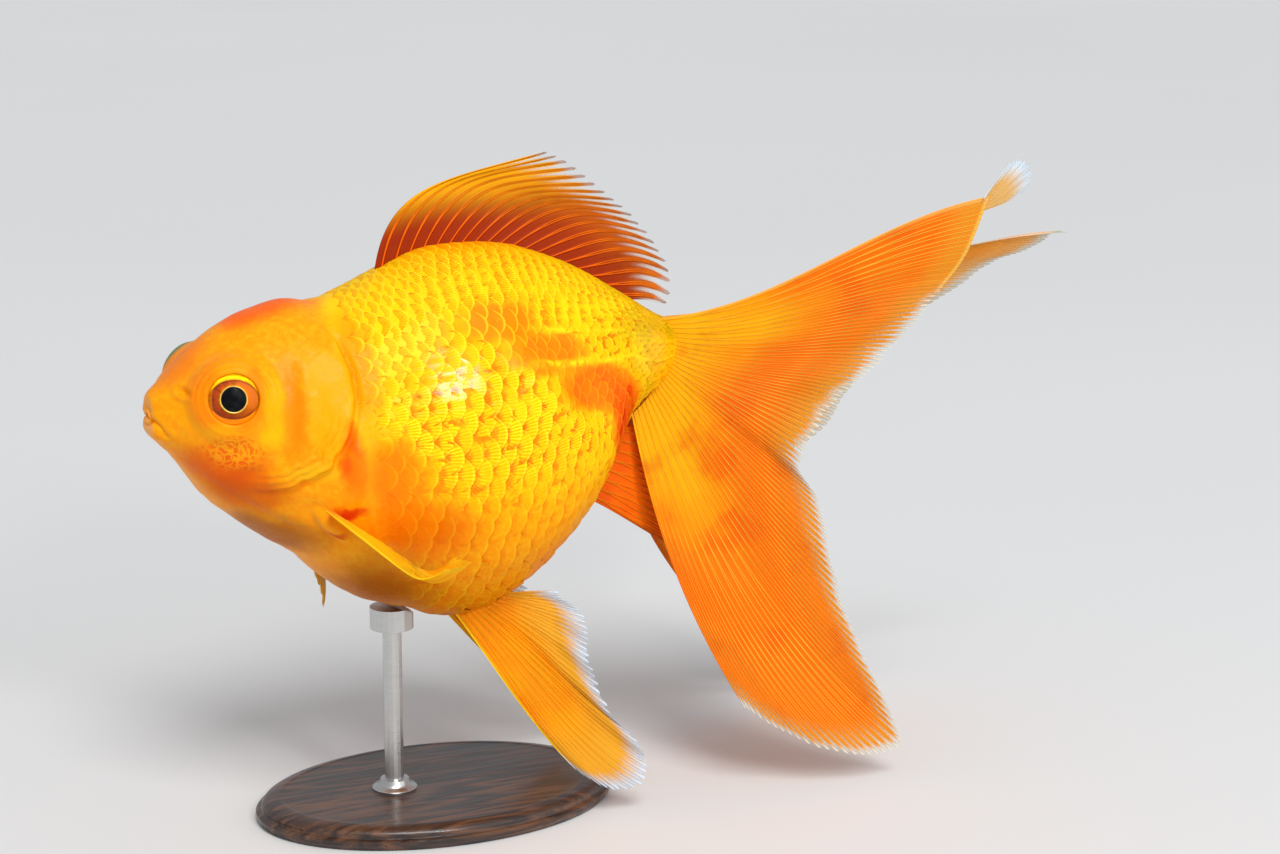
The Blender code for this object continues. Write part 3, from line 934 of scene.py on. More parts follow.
        across, along = line_distance(flat, LIPS)
        front = smooth(-48.4, -50.4, x)
        out += front * (0.20 * bell(np.abs(across) - 0.9, 0.6) - 0.38 * bell(across, 0.26))
        across, along = line_distance(flat, MOUTH_FOLD)
        out -= 0.10 * bell(across, 0.6)
        out += 0.5 * bell(np.hypot(x - MOUTH_CORNER[0], z - MOUTH_CORNER[1]), 1.5)
        pit = np.hypot(x - NOSTRIL[0], z - NOSTRIL[1])
        out += 0.24 * bell(pit - 1.2, 0.5) - 0.8 * bell(pit, 0.6)

        across, along = line_distance(flat, CHEEK_EDGE)
        ends = smooth(0.0, 0.18, along) * smooth(1.0, 0.85, along)
        out += ends * (0.22 * bell(across - 2.2, 1.4) - 0.30 * bell(across, 1.15))

        across, along = line_distance(flat, GILL_EDGE)
        ends = smooth(0.0, 0.14, along) * smooth(1.0, 0.86, along)
        ragged = 0.22 * np.sin(34.0 * along) + 0.14 * np.sin(71.0 * along + 1.0)
        lower = smooth(0.42, 0.58, along)
        edge = across + ragged * lower
        plate = 0.85 * smooth(-6.5, -0.5, edge) * smooth(0.40, -0.12, edge)
        slit = -0.6 * bell(edge - 0.75, 0.6)
        ridges = 0.34 * np.cos(2 * math.pi * (edge + 0.4) / 1.25) * bell(edge + 2.2, 1.5) * lower
        out += ends * (plate + slit + ridges)

        across, along = line_distance(flat, JAW_LINE)
        ends = smooth(0.0, 0.2, along) * smooth(1.0, 0.7, along)
        out += ends * (0.12 * bell(across - 1.5, 1.0) - 0.16 * bell(across, 0.6))

        across, along = line_distance(flat, SHOULDER)
        out += 0.75 * bell(across, 1.5) * smooth(0.0, 0.3, along) * smooth(2.5, 1.0, along)
        ahead, up = x - FIN_LOBE[0], z - FIN_LOBE[1]
        lobe = np.hypot((0.73 * ahead - 0.68 * up) / 3.5, (0.68 * ahead + 0.73 * up) / 1.05)
        out += 1.3 * np.exp(-(lobe**4)) - 0.2 * bell(lobe - 1.6, 0.4)

        across, along = line_distance(flat, FLANK_FOLD)
        ends = smooth(0.0, 0.2, along) * smooth(1.0, 0.75, along)
        hollow = smooth(-0.4, 4.6, across) * smooth(19.0, 6.0, across)
        out += ends * (0.35 * bell(across + 2.0, 2.4) - 2.1 * hollow)

        out -= 0.5 * bell(x + 22.3, 1.7) * smooth(0.16, 0.0, share)
        ripple = np.sin(0.9 * x + 1.4 * np.sin(0.6 * z)) * np.sin(0.8 * z + 0.7 * np.sin(0.5 * x))
        return out + 0.07 * ripple * (1.0 - covered)

    def set_in_eye(self, points: Array, eye: EyeSeat) -> Array:
        """Shapes the rim, the folds and the opening round an eye.

        Args:
            points: Points of the skin on the eye's own flank.
            eye: The eye.

        Returns:
            The points, moved along the eye's axis.
        """
        off = points - eye.middle
        height = off @ eye.axis
        radius = np.linalg.norm(off - height[..., None] * eye.axis, axis=-1)
        opening = eye.opening * eye.radius
        brim = math.sqrt(eye.radius**2 - opening**2) + 0.28
        above = smooth(-1.0, 2.5, off[..., 2])
        folds = eye.fold * np.cos(2 * math.pi * (radius - opening) / eye.fold_pitch)
        folds = folds * bell(radius - opening - 1.9, 1.3) * (0.35 + above)
        rim = brim + 0.24 * bell(radius - opening - 0.45, 0.42) - 0.16 * (radius - opening)
        sunk = eye.depth * smooth(opening + 0.05, opening - 0.5, radius)
        near = smooth(opening + eye.lift, opening + 0.7, radius)
        target = height + (rim - height) * near + folds - sunk
        shaped = np.where(height > -3.0, target, height)
        return points + (shaped - height)[..., None] * eye.axis

    @cached_property
    def tables(self) -> dict[Side, tuple[Array, Array]]:
        """Works out the skin by stations and by share of the way round.

        Returns:
            A grid of points and one of normals for each flank.
        """
        place = np.linspace(0.0, self.last, self.table_rows)[:, None]
        share = np.linspace(0.0, 1.0, self.table_columns)
        angles = np.linspace(0.0, math.pi, self.turn_samples)
        found = {}
        for side in Side:
            ring = self.plain(np.broadcast_to(place, (len(place), len(angles))), angles[None, :], side)
            steps = np.linalg.norm(np.diff(ring, axis=1), axis=-1)
            arc = np.concatenate([np.zeros_like(place), np.cumsum(steps, axis=1)], axis=1)
            turn = np.stack([np.interp(share, row / row[-1], angles) for row in arc])
            places = np.broadcast_to(place, turn.shape)
            shares = np.broadcast_to(share, turn.shape)
            points = self.plain(places, turn, side)
            normals = grid_normals(points) * side.value
            normals[:, [0, -1], 1] = 0.0
            points = points + normals * self.relief(points, places, shares)[..., None]
            points = self.set_in_eye(points, EYES[side])
            points[:, [0, -1], 1] = 0.0
            normals = grid_normals(points) * side.value
            normals[:, [0, -1], 1] = 0.0
            found[side] = (points, normals / np.linalg.norm(normals, axis=-1, keepdims=True))
        return found

    def at(self, place: Array, share: Array, side: Side) -> tuple[Array, Array]:
        """Reads the skin anywhere on a flank, or just past the midline on the other.

        Args:
            place: Stations from the snout.
            share: Share of the way round; below 0 or above 1 is on the other flank.
            side: Which flank.

        Returns:
            Points and unit normals.
        """
        folded = np.where(share < 0, -share, np.where(share > 1, 2 - share, share))
        crossed = (share < 0) | (share > 1)
        r = np.clip(place / self.last, 0, 1) * (self.table_rows - 1)
        c = np.clip(folded, 0, 1) * (self.table_columns - 1)
        i = np.minimum(r.astype(int), self.table_rows - 2)
        j = np.minimum(c.astype(int), self.table_columns - 2)
        f, g = (r - i)[..., None], (c - j)[..., None]
        result = []
        for table in self.tables[side]:
            near = table[i, j] * (1 - g) + table[i, j + 1] * g
            far = table[i + 1, j] * (1 - g) + table[i + 1, j + 1] * g
            value = near * (1 - f) + far * f
            value[..., 1] = np.where(crossed, -value[..., 1], value[..., 1])
            result.append(value)
        return result[0], result[1] / np.linalg.norm(result[1], axis=-1, keepdims=True)


@dataclass
class Skin:
    """The one skin over head, jaw, gill covers, trunk and tail stem."""

    body: Body
    head_rings: int = 186
    trunk_rings: int = 60
    head_end: float = 7.6
    half_segments: int = 180
    # how the rings inside the lips shrink: across, in height, and back into the mouth
    mouth: tuple[tuple[float, float, float], ...] = (
        (0.93, 0.86, -0.30), (0.84, 0.66, -0.46), (0.74, 0.44, -0.40),
        (0.64, 0.24, -0.10), (0.56, 0.12, 0.45), (0.48, 0.10, 1.20),
    )

    def shares(self) -> Array:
        """Shares of the way round, closer together at the height of the eye."""
        even = np.linspace(0.0, 1.0, self.half_segments + 1)
        return even - 0.055 * (np.sin(2 * math.pi * (even - 0.35)) + math.sin(2 * math.pi * 0.35))

    def build(self) -> bpy.types.Object:
        """Builds and dresses the skin.

        Returns:
            The piece.
        """
        front = np.linspace(0.0, self.head_end, self.head_rings)
        back = np.linspace(self.head_end, self.body.last, self.trunk_rings)[1:]
        places = np.concatenate([front, back])[:, None]
        shares = self.shares()
        right, _ = self.body.at(places, shares[None, :], Side.RIGHT)
        left, _ = self.body.at(places, shares[None, 1:-1][:, ::-1], Side.LEFT)
        rings = np.concatenate([right, left], axis=1)
        first = rings[0]
        middle = first.mean(axis=0)
        lips = [
            middle + (first - middle) * np.array([height, across, height]) + np.array([back_by, 0.0, 0.0])
            for across, height, back_by in reversed(self.mouth)
        ]
        points, faces = capped(np.concatenate([np.stack(lips), rings]))
        mesh = mesh_from("skin", to_world(points), faces)
        replaced = ("head", "lower_jaw", "gill_cover_left", "gill_cover_right", "trunk", "tail_stem")
        return settle("skin", mesh, self.finish(), Slot.BODY, replaced)

    def finish(self) -> bpy.types.Material:
        """Makes the wet skin: the shared markings, a net of light lines on the cheek, and pores.

        Returns:
            The material.
        """
        paint = Paint("wet skin", Coat_Weight=0.04, Coat_Roughness=0.14, Specular_IOR_Level=0.08)
        looks = paint.group(MARKINGS.colours)
        place = paint.group(MARKINGS.place)
        cheek = looks["Cheek"]
        colour = looks["Colour"].tinted(cheek * 0.55, tint(250, 96, 0))
        net = paint.cells(place["Wavy"], 0.8).between(0.0, 0.26, 0.5, 0.0)
        colour = colour.tinted(net * cheek, tint(255, 196, 20))
        lip = paint.split(place["Plain"])[0].between(-51.9, -52.5)
        height = paint.group(MARKINGS.pores, Cheek=cheek)["Height"]
        return paint.finish(
            Base_Color=colour.tinted(lip * 0.6, tint(255, 184, 110)),
            Roughness=paint.noise(place["Plain"], 1.4, 3.0).between(0.3, 0.7, 0.30, 0.46),
            Normal=paint.bump(height, 0.00022),
        )


# ---------------------------------------------------------------- the scales


@dataclass
class Coat:
    """The overlapping scales, in staggered rows that run from the gills to the tail's root."""

    body: Body
    back_pitch: float = 2.15  # between neighbouring rows, in millimetres
    belly_pitch: float = 4.3
    girth: float = 92.0  # half way round the fullest part
    columns: int = 25
    back_columns: int = 34
    first_gap: float = 1.22  # how far apart the scales start along a row, and how they close up
    closing: float = 0.28
    overlap: float = 1.7  # a scale's length, in distances to the next one in its row
    spread: float = 0.98  # a scale's half width, in row pitches
    rise: float = 0.58  # of the rear edge above the skin
    sink: float = 0.16  # of the root below it
    thickness: float = 0.11
    crest_rise: float = 0.26  # of the edge along a crest of the rear flank
    tilt: float = 0.26  # of a scale to one side, at most
    scallop: float = 0.016  # depth of the waves along the rear edge, in scale lengths
    ribs: float = 26.0  # how close together the ribs of the fan are
    grid: int = 10  # points along a scale and across it
    patch: float = 0.003  # of one scale on the bake map
    splits: tuple[float, float] = (10.0, 13.0)  # stations where the front and middle pieces end
    lateral_line: float = 0.345  # share of the way round of the row with the pores
    dorsal: tuple[float, float] = (8.8, 15.7)  # stations that the dorsal fin stands on
    # where the rows end: share of the way round, stations from the snout
    row_end: tuple[tuple[float, float], ...] = ((0.0, 18.25), (0.25, 18.35), (0.6, 18.0), (1.0, 16.3))
    samples: int = 400  # along a curve that is measured

    @cached_property
    def rows(self) -> Array:
        """Spreads the rows from the middle of the back to the middle of the belly.

        Returns:
            The share of the way round of each row.
        """
        share = np.linspace(0.0, 1.0, self.samples)
        pitch = self.back_pitch + (self.belly_pitch - self.back_pitch) * share**1.1
        steps = self.girth / (self.samples - 1) / ((pitch[1:] + pitch[:-1]) / 2)
        count = np.concatenate([[0.0], np.cumsum(steps)])
        whole = round(count[-1])
        return np.interp(np.arange(whole + 1) * count[-1] / whole, count, share)

    def row_places(self, index: int, side: Side) -> tuple[Array, Array, Array, Array]:
        """Works out where the scales of one row have their roots.

        Args:
            index: The row's number from the back.
            side: Which flank.

        Returns:
            Distances along the row, the spacing there, and a table of distances and stations.
        """
        share = self.rows[index]
        start = float(self.body.coat_start(share))
        end = float(np.interp(share, *zip(*self.row_end)))
        stations = np.linspace(start, self.body.last, self.samples)
        points, _ = self.body.at(stations, np.full_like(stations, share), side)
        run = np.concatenate([[0.0], np.cumsum(np.linalg.norm(np.diff(points, axis=0), axis=-1))])
        length = float(np.interp(end, stations, run))
        extra = (self.back_columns - self.columns) * float(smooth(0.24, 0.04, np.array(share)))
        count = self.columns + round(extra)
        steps = (np.arange(count) + 0.5 * (index % 2)) / count
        whole = self.first_gap - self.closing
        distances = length * (self.first_gap * steps - self.closing * steps**2) / whole
        spacing = length * (self.first_gap - 2 * self.closing * steps) / whole / count
        return distances, spacing, run, stations

    def scales(self, index: int, side: Side) -> dict[str, Array]:
        """Builds the scales of one row.

        Args:
            index: The row's number from the back.
            side: Which flank.

        Returns:
            The points of each scale, both faces; its maps, tone, crest and pore; its station.
        """
        distances, spacing, run, stations = self.row_places(index, side)
        root = np.interp(distances, run, stations)
        settled = smooth(-0.5, 2.6, np.arange(len(root), dtype=float))
        midline = index in (0, len(self.rows) - 1)
        keep = (root < self.dorsal[0]) | (root > self.dorsal[1]) if index == 0 else np.ones(len(root), bool)
        distances, spacing, root, settled = distances[keep], spacing[keep], root[keep], settled[keep]
        count = len(root)
        chance = scatter(4 * count, 97 * index + side.value + 5).reshape(4, count, 1, 1)
        share = self.rows[index]
        ahead = self.rows[min(index + 1, len(self.rows) - 1)]
        behind = self.rows[max(index - 1, 0)]
        pitch = (ahead - behind) / (1 if midline else 2)

        s = np.linspace(0.0, 1.0, self.grid)[None, :, None]
        v = np.linspace(-1.0, 1.0, self.grid)[None, None, :]
        long = (spacing * self.overlap)[:, None, None] * (0.97 + 0.07 * chance[0])
        scallop = self.scallop * np.cos(9 * math.pi * v) * s
        x = long * s * (1.0 - 0.30 * np.abs(v) ** 2.3 + scallop)
        wide = self.spread * pitch * (0.80 + 0.20 * smooth(0.0, 0.5, s)) * (1.0 - 0.05 * smooth(0.8, 1.0, s))
        across = share + v * wide + 0.05 * pitch * (chance[1] - 0.5) + 0 * x
        along = np.interp(distances[:, None, None] + x, run, stations)
        points, normals = self.body.at(along, across, side)
        size = smooth(1.2, 3.4, spacing)[:, None, None]
        fan = np.cos(self.ribs * v / (s + 0.55))
        flank = smooth(0.20, 0.40, np.array(share))
        bold = (0.22 + 0.78 * flank) * (0.35 + 0.65 * smooth(8.4, 10.2, root)[:, None, None])
        full = (0.30 + 0.70 * settled)[:, None, None] * (0.62 + 0.38 * size) * bold
        full = full * (0.72 + 0.60 * chance[2])
        full = np.maximum(full, 0.11 + 0.05 * chance[2])
        lift = -self.sink + (self.rise * full + self.sink) * s**1.1
        lift = lift + 0.08 * size * bold * (1.0 - v**2) * np.sin(math.pi * s) - 0.13 * bold * v**4 * s
        crest = self.crest(along, across)
        lift = lift + self.crest_rise * crest * s
        ribbed = 0.008 + 0.022 * smooth(0.72, 0.5, np.array(share)) * smooth(0.2, 0.34, np.array(share))
        lift = lift + ribbed * size * fan * smooth(0.35, 0.7, s) * smooth(1.0, 0.75, np.abs(v))
        lift = lift + self.tilt * bold * (chance[3] - 0.5) * v * s
        thick = self.thickness * (1.0 - 0.35 * s) + 0 * lift
        upper = points + normals * lift[..., None]
        lower = points + normals * (lift - thick)[..., None]
        pattern = np.stack(np.broadcast_arrays(s, (v + 1) / 2, lift), -1)[..., :2]
        home = np.stack([0.03 + 0.94 * (root - 6.5) / 12.0, np.full(count, 0.03 + 0.94 * share)], -1)
        small = (pattern - 0.5) * self.patch
        bake = home[:, None, None, :] + small
        both = np.concatenate([upper.reshape(count, -1, 3), lower.reshape(count, -1, 3)], axis=1)
        return {
            "points": both,
            "pattern": np.tile(pattern.reshape(count, -1, 2), (1, 2, 1)),
            "bake": np.tile(bake.reshape(count, -1, 2), (1, 2, 1)),
            "tone": np.broadcast_to(chance[0].reshape(count, 1), (count, both.shape[1])),
            "crest": np.tile(crest.reshape(count, -1), (1, 2)),
            "pore": np.broadcast_to(self.pored(index, root)[:, None], (count, both.shape[1])),
            "root": root,
        }

    def crest(self, place: Array, share: Array) -> Array:
        """Gives how much of a lengthwise crest of the rear flank each place is.

        Args:
            place: Stations from the snout.
            share: Share of the way round.

        Returns:
            From 0 to 1.
        """
        found = np.zeros_like(place)
        for stations, shares, width in (
            ((11.6, 13.8, 15.8, 17.7), (0.325, 0.345, 0.40, 0.50), 0.0075),
            ((12.0, 14.0, 16.0, 17.6), (0.245, 0.262, 0.30, 0.36), 0.0065),
        ):
            line = np.interp(place, stations, shares)
            ends = smooth(stations[0] - 0.4, stations[0] + 0.8, place)
            wide = width * (1.0 + 0.35 * smooth(14.0, 18.0, place))
            found = np.maximum(found, ends * bell(share - line, wide))
        return found

    def pored(self, index: int, root: Array) -> Array:
        """Tells which scales of a row carry a pore of the lateral line."""
        nearest = int(np.argmin(np.abs(self.rows - self.lateral_line)))
        return np.where((index == nearest) & (root < 9.7), 1.0, 0.0)

    def build(self) -> list[bpy.types.Object]:
        """Builds and dresses the six pieces of the coat.

        Returns:
            The pieces.
        """
        finish = self.finish()
        one = slab_faces(self.grid, self.grid)
        step = 2 * self.grid**2
        pieces = []
        for side in Side:
            # the rows on the midlines belong to the left pieces alone
            indices = range(0 if side is Side.LEFT else 1, len(self.rows) - (0 if side is Side.LEFT else 1))
            rows = [self.scales(index, side) for index in indices]
            whole = {key: np.concatenate([row[key] for row in rows]) for key in rows[0]}
            zone = np.digitize(whole["root"], self.splits)
            for number, part in enumerate(("front", "middle", "rear")):
                chosen = zone == number
                points = whole["points"][chosen]
                faces = (one[None] + step * np.arange(len(points))[:, None, None]).reshape(-1, 4)
                if side is Side.RIGHT:
                    faces = faces[:, ::-1]
                name = f"scales_{side.word}_{part}"
                mesh = mesh_from(name, to_world(points.reshape(-1, 3)), [faces], 50.0)
                add_map(mesh, BAKE_MAP, whole["bake"][chosen].reshape(-1, 2))
                add_map(mesh, "scale", whole["pattern"][chosen].reshape(-1, 2))
                for key in ("tone", "crest", "pore"):
                    add_value(mesh, key, whole[key][chosen].reshape(-1))
                pieces.append(settle(name, mesh, finish, Slot.BODY))
                log.info("%s: %d scales", name, len(points))
        return pieces

    def finish(self) -> bpy.types.Material:
        """Makes the scales' finish: a painted shadow of deep orange under each edge, a bright ribbed fan, a
        light rim.

        Returns:
            The material.
        """
        paint = Paint("scale plates", Coat_Roughness=0.10, Specular_IOR_Level=0.06)
        looks = paint.group(MARKINGS.colours)
        plain, net, tone = looks["Colour"], looks["Net"], paint.value("tone")
        place = paint.group(MARKINGS.place)["Plain"]
        patchy = paint.noise(place, 0.22).between(0.32, 0.62, 0.45, 1.0)
        gold = looks["Gold"] * patchy
        along, across = paint.map("scale")
        side = across - 0.5
        ribs = paint.math("SINE", side / (along + 0.35) * 74.0 + paint.noise(place, 1.3) * 1.6)
        rings = paint.math("SINE", along * 95.0)

        # painted shadow: deep orange where the edge of the scale in front and the rows beside would shade
        # this scale
        deep = plain.tinted(gold * 0.46 + 0.30, tint(222, 84, 0))
        flat = paint.math("MULTIPLY_ADD", net, -0.7, 1.0)
        light = plain.tinted(gold * flat * 0.8, tint(255, 222, 0))
        ragged = (paint.noise(place, 0.9, 3.0, 0.65) - 0.5) * 0.55
        reach = along + (ragged - tone * 0.12)
        # fan is 1 on the open part of the scale; outside it the painted shadow shows
        fan = reach.between(0.42, 0.66) * abs(side).between(0.47, 0.27)
        furrow = ribs.between(0.0, -0.95, 0.0, 0.5) * gold
        colour = deep.tinted(fan, light).tinted(furrow * patchy, tint(240, 132, 0))
        colour = colour.tinted(tone.between(0.0, 1.0, 0.0, 0.24), tint(255, 150, 0))
        cell = paint.blend(looks["Gold"], tint(248, 136, 0), tint(254, 178, 0))
        colour = colour.tinted(along.between(0.90, 0.70) * net * 0.88, cell)
        rim = along.between(0.89, 0.95) * (paint.math("MAXIMUM", gold, net) * 0.66 + 0.14)
        colour = colour.tinted(rim, tint(255, 222, 30))
        broken = paint.noise(place, 0.8).between(0.34, 0.58, 0.15, 0.9)
        colour = colour.tinted(paint.value("crest") * broken, tint(255, 226, 20))
        near = paint.vector("DISTANCE", paint.join(along, across), (0.62, 0.5, 0.0))
        dot = near.between(0.16, 0.03, 0.0, 0.6) * paint.value("pore")
        end = paint.split(place)[0].between(37.0, 43.0, 0.0, 0.8)
        colour = colour.tinted(dot, tint(176, 70, 0)).tinted(end, plain.tinted(0.5, tint(255, 204, 0)))

        shine = paint.math("MINIMUM", *(paint.vector("DISTANCE", place, centre) for centre in WET_SPOTS))
        return paint.finish(
            Base_Color=colour,
            Metallic=gold * fan * 0.10,
            Coat_Weight=shine.between(6.5, 3.0, 0.03, 0.36),
            Roughness=tone.between(0.0, 1.0, 0.30, 0.46),
            Normal=paint.bump(ribs * gold * 0.6 + rings * 0.12, 0.00008),
        )


# ---------------------------------------------------------------- the fins


@dataclass(frozen=True)
class Branching:
    """How the rays of a fin split on their way out, as distances along them from 0 to 1."""

    rays: float = 14.0
    split: float = 1.0
    first: tuple[float, float] = (0.06, 0.32)
    second: tuple[float, float] = (0.30, 0.62)
    third: tuple[float, float] = (0.55, 0.95)
    root_width: float = 0.24
    tip_width: float = 0.045
    line_root_width: float = 0.075  # of the light line along a ray
    line_tip_width: float = 0.017

    def ridge(self, across: Array, along: Array) -> Array:
        """Gives how much of a ray each place is, 0 to 1.

        Args:
            across: From the leading ray, 0, to the last, 1.
            along: From the root, 0, to the free edge, 1.

        Returns:
            One number a place.
        """
        off = np.abs(np.mod(across * self.rays, 1.0) - 0.5)
        for share, (start, end) in zip((0.25, 0.125), (self.first, self.second)):
            off = np.abs(off - share * self.split * smooth(start, end, along))
        width = self.root_width + (self.tip_width - self.root_width) * np.sqrt(along)
        return smooth(1.0, 0.25, off / width)


@dataclass(frozen=True)
class FinFinish:
    """The colours of one fin, from its root to its margin."""

    name: str
    root: Colour
    middle: Colour
    margin: Colour
    ray: Colour
    membrane: Colour
    root_alpha: float = 1.0
    middle_alpha: float = 0.96
    margin_alpha: float = 0.1  # of the skin between two ray ends
    pale: float = 2.2  # millimetres from the free edge that take the margin's colour
    clear: tuple[float, float] = (5.5, 3.0)  # millimetres from it where the skin between rays thins out
    wander: float = 3.0  # how far those two bounds wander, in millimetres
    outer: Colour = tint(240, 166, 30)  # just inside the pale edge
    turn: tuple[float, float] = (0.08, 0.55)
    shade: tuple[float, float] = (0.8, 1.2)  # of the darker skin between rays, at the root and outside
    ray_share: float = 0.55
    membrane_share: float = 0.25
    leading: Colour = tint(255, 206, 20)
    leading_width: float = 0.06
    leading_from: tuple[float, float] = (-2.0, -1.0)
    glow: float = 0.0  # share from the leading ray of a streak that keeps the root's colour
    split: float = 1.0  # how far the rays branch apart
    width: float = 1.0  # of their light lines
    tooth: float = 0.080  # half width of a ray end, in rays
    sound: float = 0.0  # share from the leading ray whose edge is neither clear nor frayed

    def make(self, rays: float) -> bpy.types.Material:
        """Makes the material for a fin.

        Args:
            rays: How many rays it has at its root.

        Returns:
            The material.
        """
        paint = Paint(
            self.name, Roughness=0.42, Coat_Weight=0.03, Coat_Roughness=0.2, Specular_IOR_Level=0.08
        )
        across, along = paint.map("rays")
        rim = paint.value("rim")
        place = paint.group(MARKINGS.place)["Plain"]
        cloud = paint.noise(place, 0.12, 3.0) - 0.5
        reach = along + cloud * 0.24
        inset = rim + cloud * self.wander
        drawn = paint.group(
            MARKINGS.rays, Across=across, Along=along, Rim=rim, Rays=rays, Split=self.split,
            Width=self.width, Tooth=rim.between(0.0, 3.0, 0.55 * self.tooth, self.tooth),
        )
        ray, joint = drawn["Ray"], drawn["Joint"]
        colour = paint.blend(reach.between(*self.turn), self.root, self.middle)
        if self.glow:
            streak = abs(across - self.glow).between(0.11, 0.02) * reach.between(0.72, 0.30, 0.0, 0.8)
            colour = colour.tinted(streak, self.root)
        colour = colour.tinted(cloud.between(0.0, 0.16, 0.0, 0.5), self.membrane)
        colour = colour.tinted(inset.between(3.6 * self.pale, self.pale, 0.0, 0.75), self.outer)
        shade = along.between(0.15, 0.9, *(self.membrane_share * part for part in self.shade))
        colour = colour.tinted((1.0 - ray) * shade, self.membrane)
        lead = across.between(self.leading_width, 0.0, 0.0, 0.9) * along.between(*self.leading_from)
        colour = colour.tinted(lead, self.leading)
        frayed = across.between(self.sound, self.sound + 0.06) if self.sound else 1.0
        hem = rim.between(1.0, 0.35, 0.0, 0.7) * paint.math("SUBTRACT", 1.0, frayed)
        edge = inset.between(self.pale, 0.2) * frayed
        colour = colour.tinted(hem, tint(238, 190, 90)).tinted(edge, self.margin)
        pale = paint.blend(edge * 0.55, self.ray, self.margin)
        alpha = reach.between(0.25, 0.9, self.root_alpha, self.middle_alpha)
        thin = inset.between(*self.clear) * (1.0 - drawn["Tooth"]) * frayed * (1.0 - self.margin_alpha)
        return paint.finish(
            Base_Color=colour.tinted(ray * self.ray_share * (1.0 - joint * 0.28), pale),
            Alpha=paint.math("SUBTRACT", alpha, thin, clamp=True),
            Normal=paint.bump(ray + joint * 0.12 + paint.noise(place, 2.2) * 0.25, 0.00012),
        )


@dataclass(frozen=True)
class FinShape:
    """A fan of curved rays between a root and a free edge, in millimetres about the fish's axis."""

    root_a: Place
    root_b: Place
    root_bow: Place
    fan: tuple[float, float]  # directions of the first and last ray at the root, in degrees
    grip: float
    flare: float
    tips: tuple[tuple[float, float, float, float, float], ...]  # share, x, y, z, bend

    def points(self, across: Array, along: Array) -> Array:
        """Gives points of the sheet.

        Args:
            across: A column of shares from the leading ray to the last.
            along: Rows of distances from the root, 0, to the free edge, 1.

        Returns:
            A grid of coordinates.
        """
        u = across.reshape(-1, 1)
        root_a, root_b, bow = (np.array(p, float) for p in (self.root_a, self.root_b, self.root_bow))
        root = root_a + (root_b - root_a) * u + bow * (4 * u * (1 - u))
        tips = np.array(self.tips)
        tip = catmull(tips, np.interp(across, tips[:, 0], np.arange(len(tips))))
        end = tip[:, 1:4]
        reach = np.hypot(end[:, 0] - root[:, 0], end[:, 2] - root[:, 2])[:, None]
        leave = np.radians(self.fan[0] + (self.fan[1] - self.fan[0]) * across)
        arrive = np.arctan2(end[:, 2] - root[:, 2], end[:, 0] - root[:, 0]) + np.radians(tip[:, 4])
        flat = np.zeros_like(leave)
        first = root + np.stack([np.cos(leave), flat, np.sin(leave)], -1) * self.grip * reach
        second = end - np.stack([np.cos(arrive), flat, np.sin(arrive)], -1) * self.grip * reach
        s = along[..., None]
        r = 1 - s
        root, first, second, end = (p[:, None, :] for p in (root, first, second, end))
        points = root * r**3 + first * (3 * r * r * s) + second * (3 * r * s * s) + end * s**3
        points[..., 1] = root[..., 1] + (end[..., 1] - root[..., 1]) * along**self.flare
        return points


@dataclass(frozen=True)
class Seat:
    """A fin laid out from a root along given directions."""

    root: Place
    along: Place
    leading: Place
    twist: float = 0.0  # about the rays, in degrees

    def matrix(self) -> Matrix:
        """Works out the seat.

        Returns:
            A matrix in millimetres.
        """
        x = Vector(self.along).normalized()
        z = (Vector(self.leading) - x * x.dot(Vector(self.leading))).normalized()
        laid = Matrix((x, z.cross(x), z)).transposed().to_4x4()
        turn = Matrix.Rotation(math.radians(self.twist), 4, "X")
        return Matrix.Translation(Vector(self.root)) @ laid @ turn


def turn_about(pivot: Place, axis: Place, degrees: float) -> Matrix:
    """A turn about a point, as a matrix in millimetres."""
    move = Matrix.Translation(Vector(pivot))
    return move @ Matrix.Rotation(math.radians(degrees), 4, Vector(axis)) @ move.inverted()


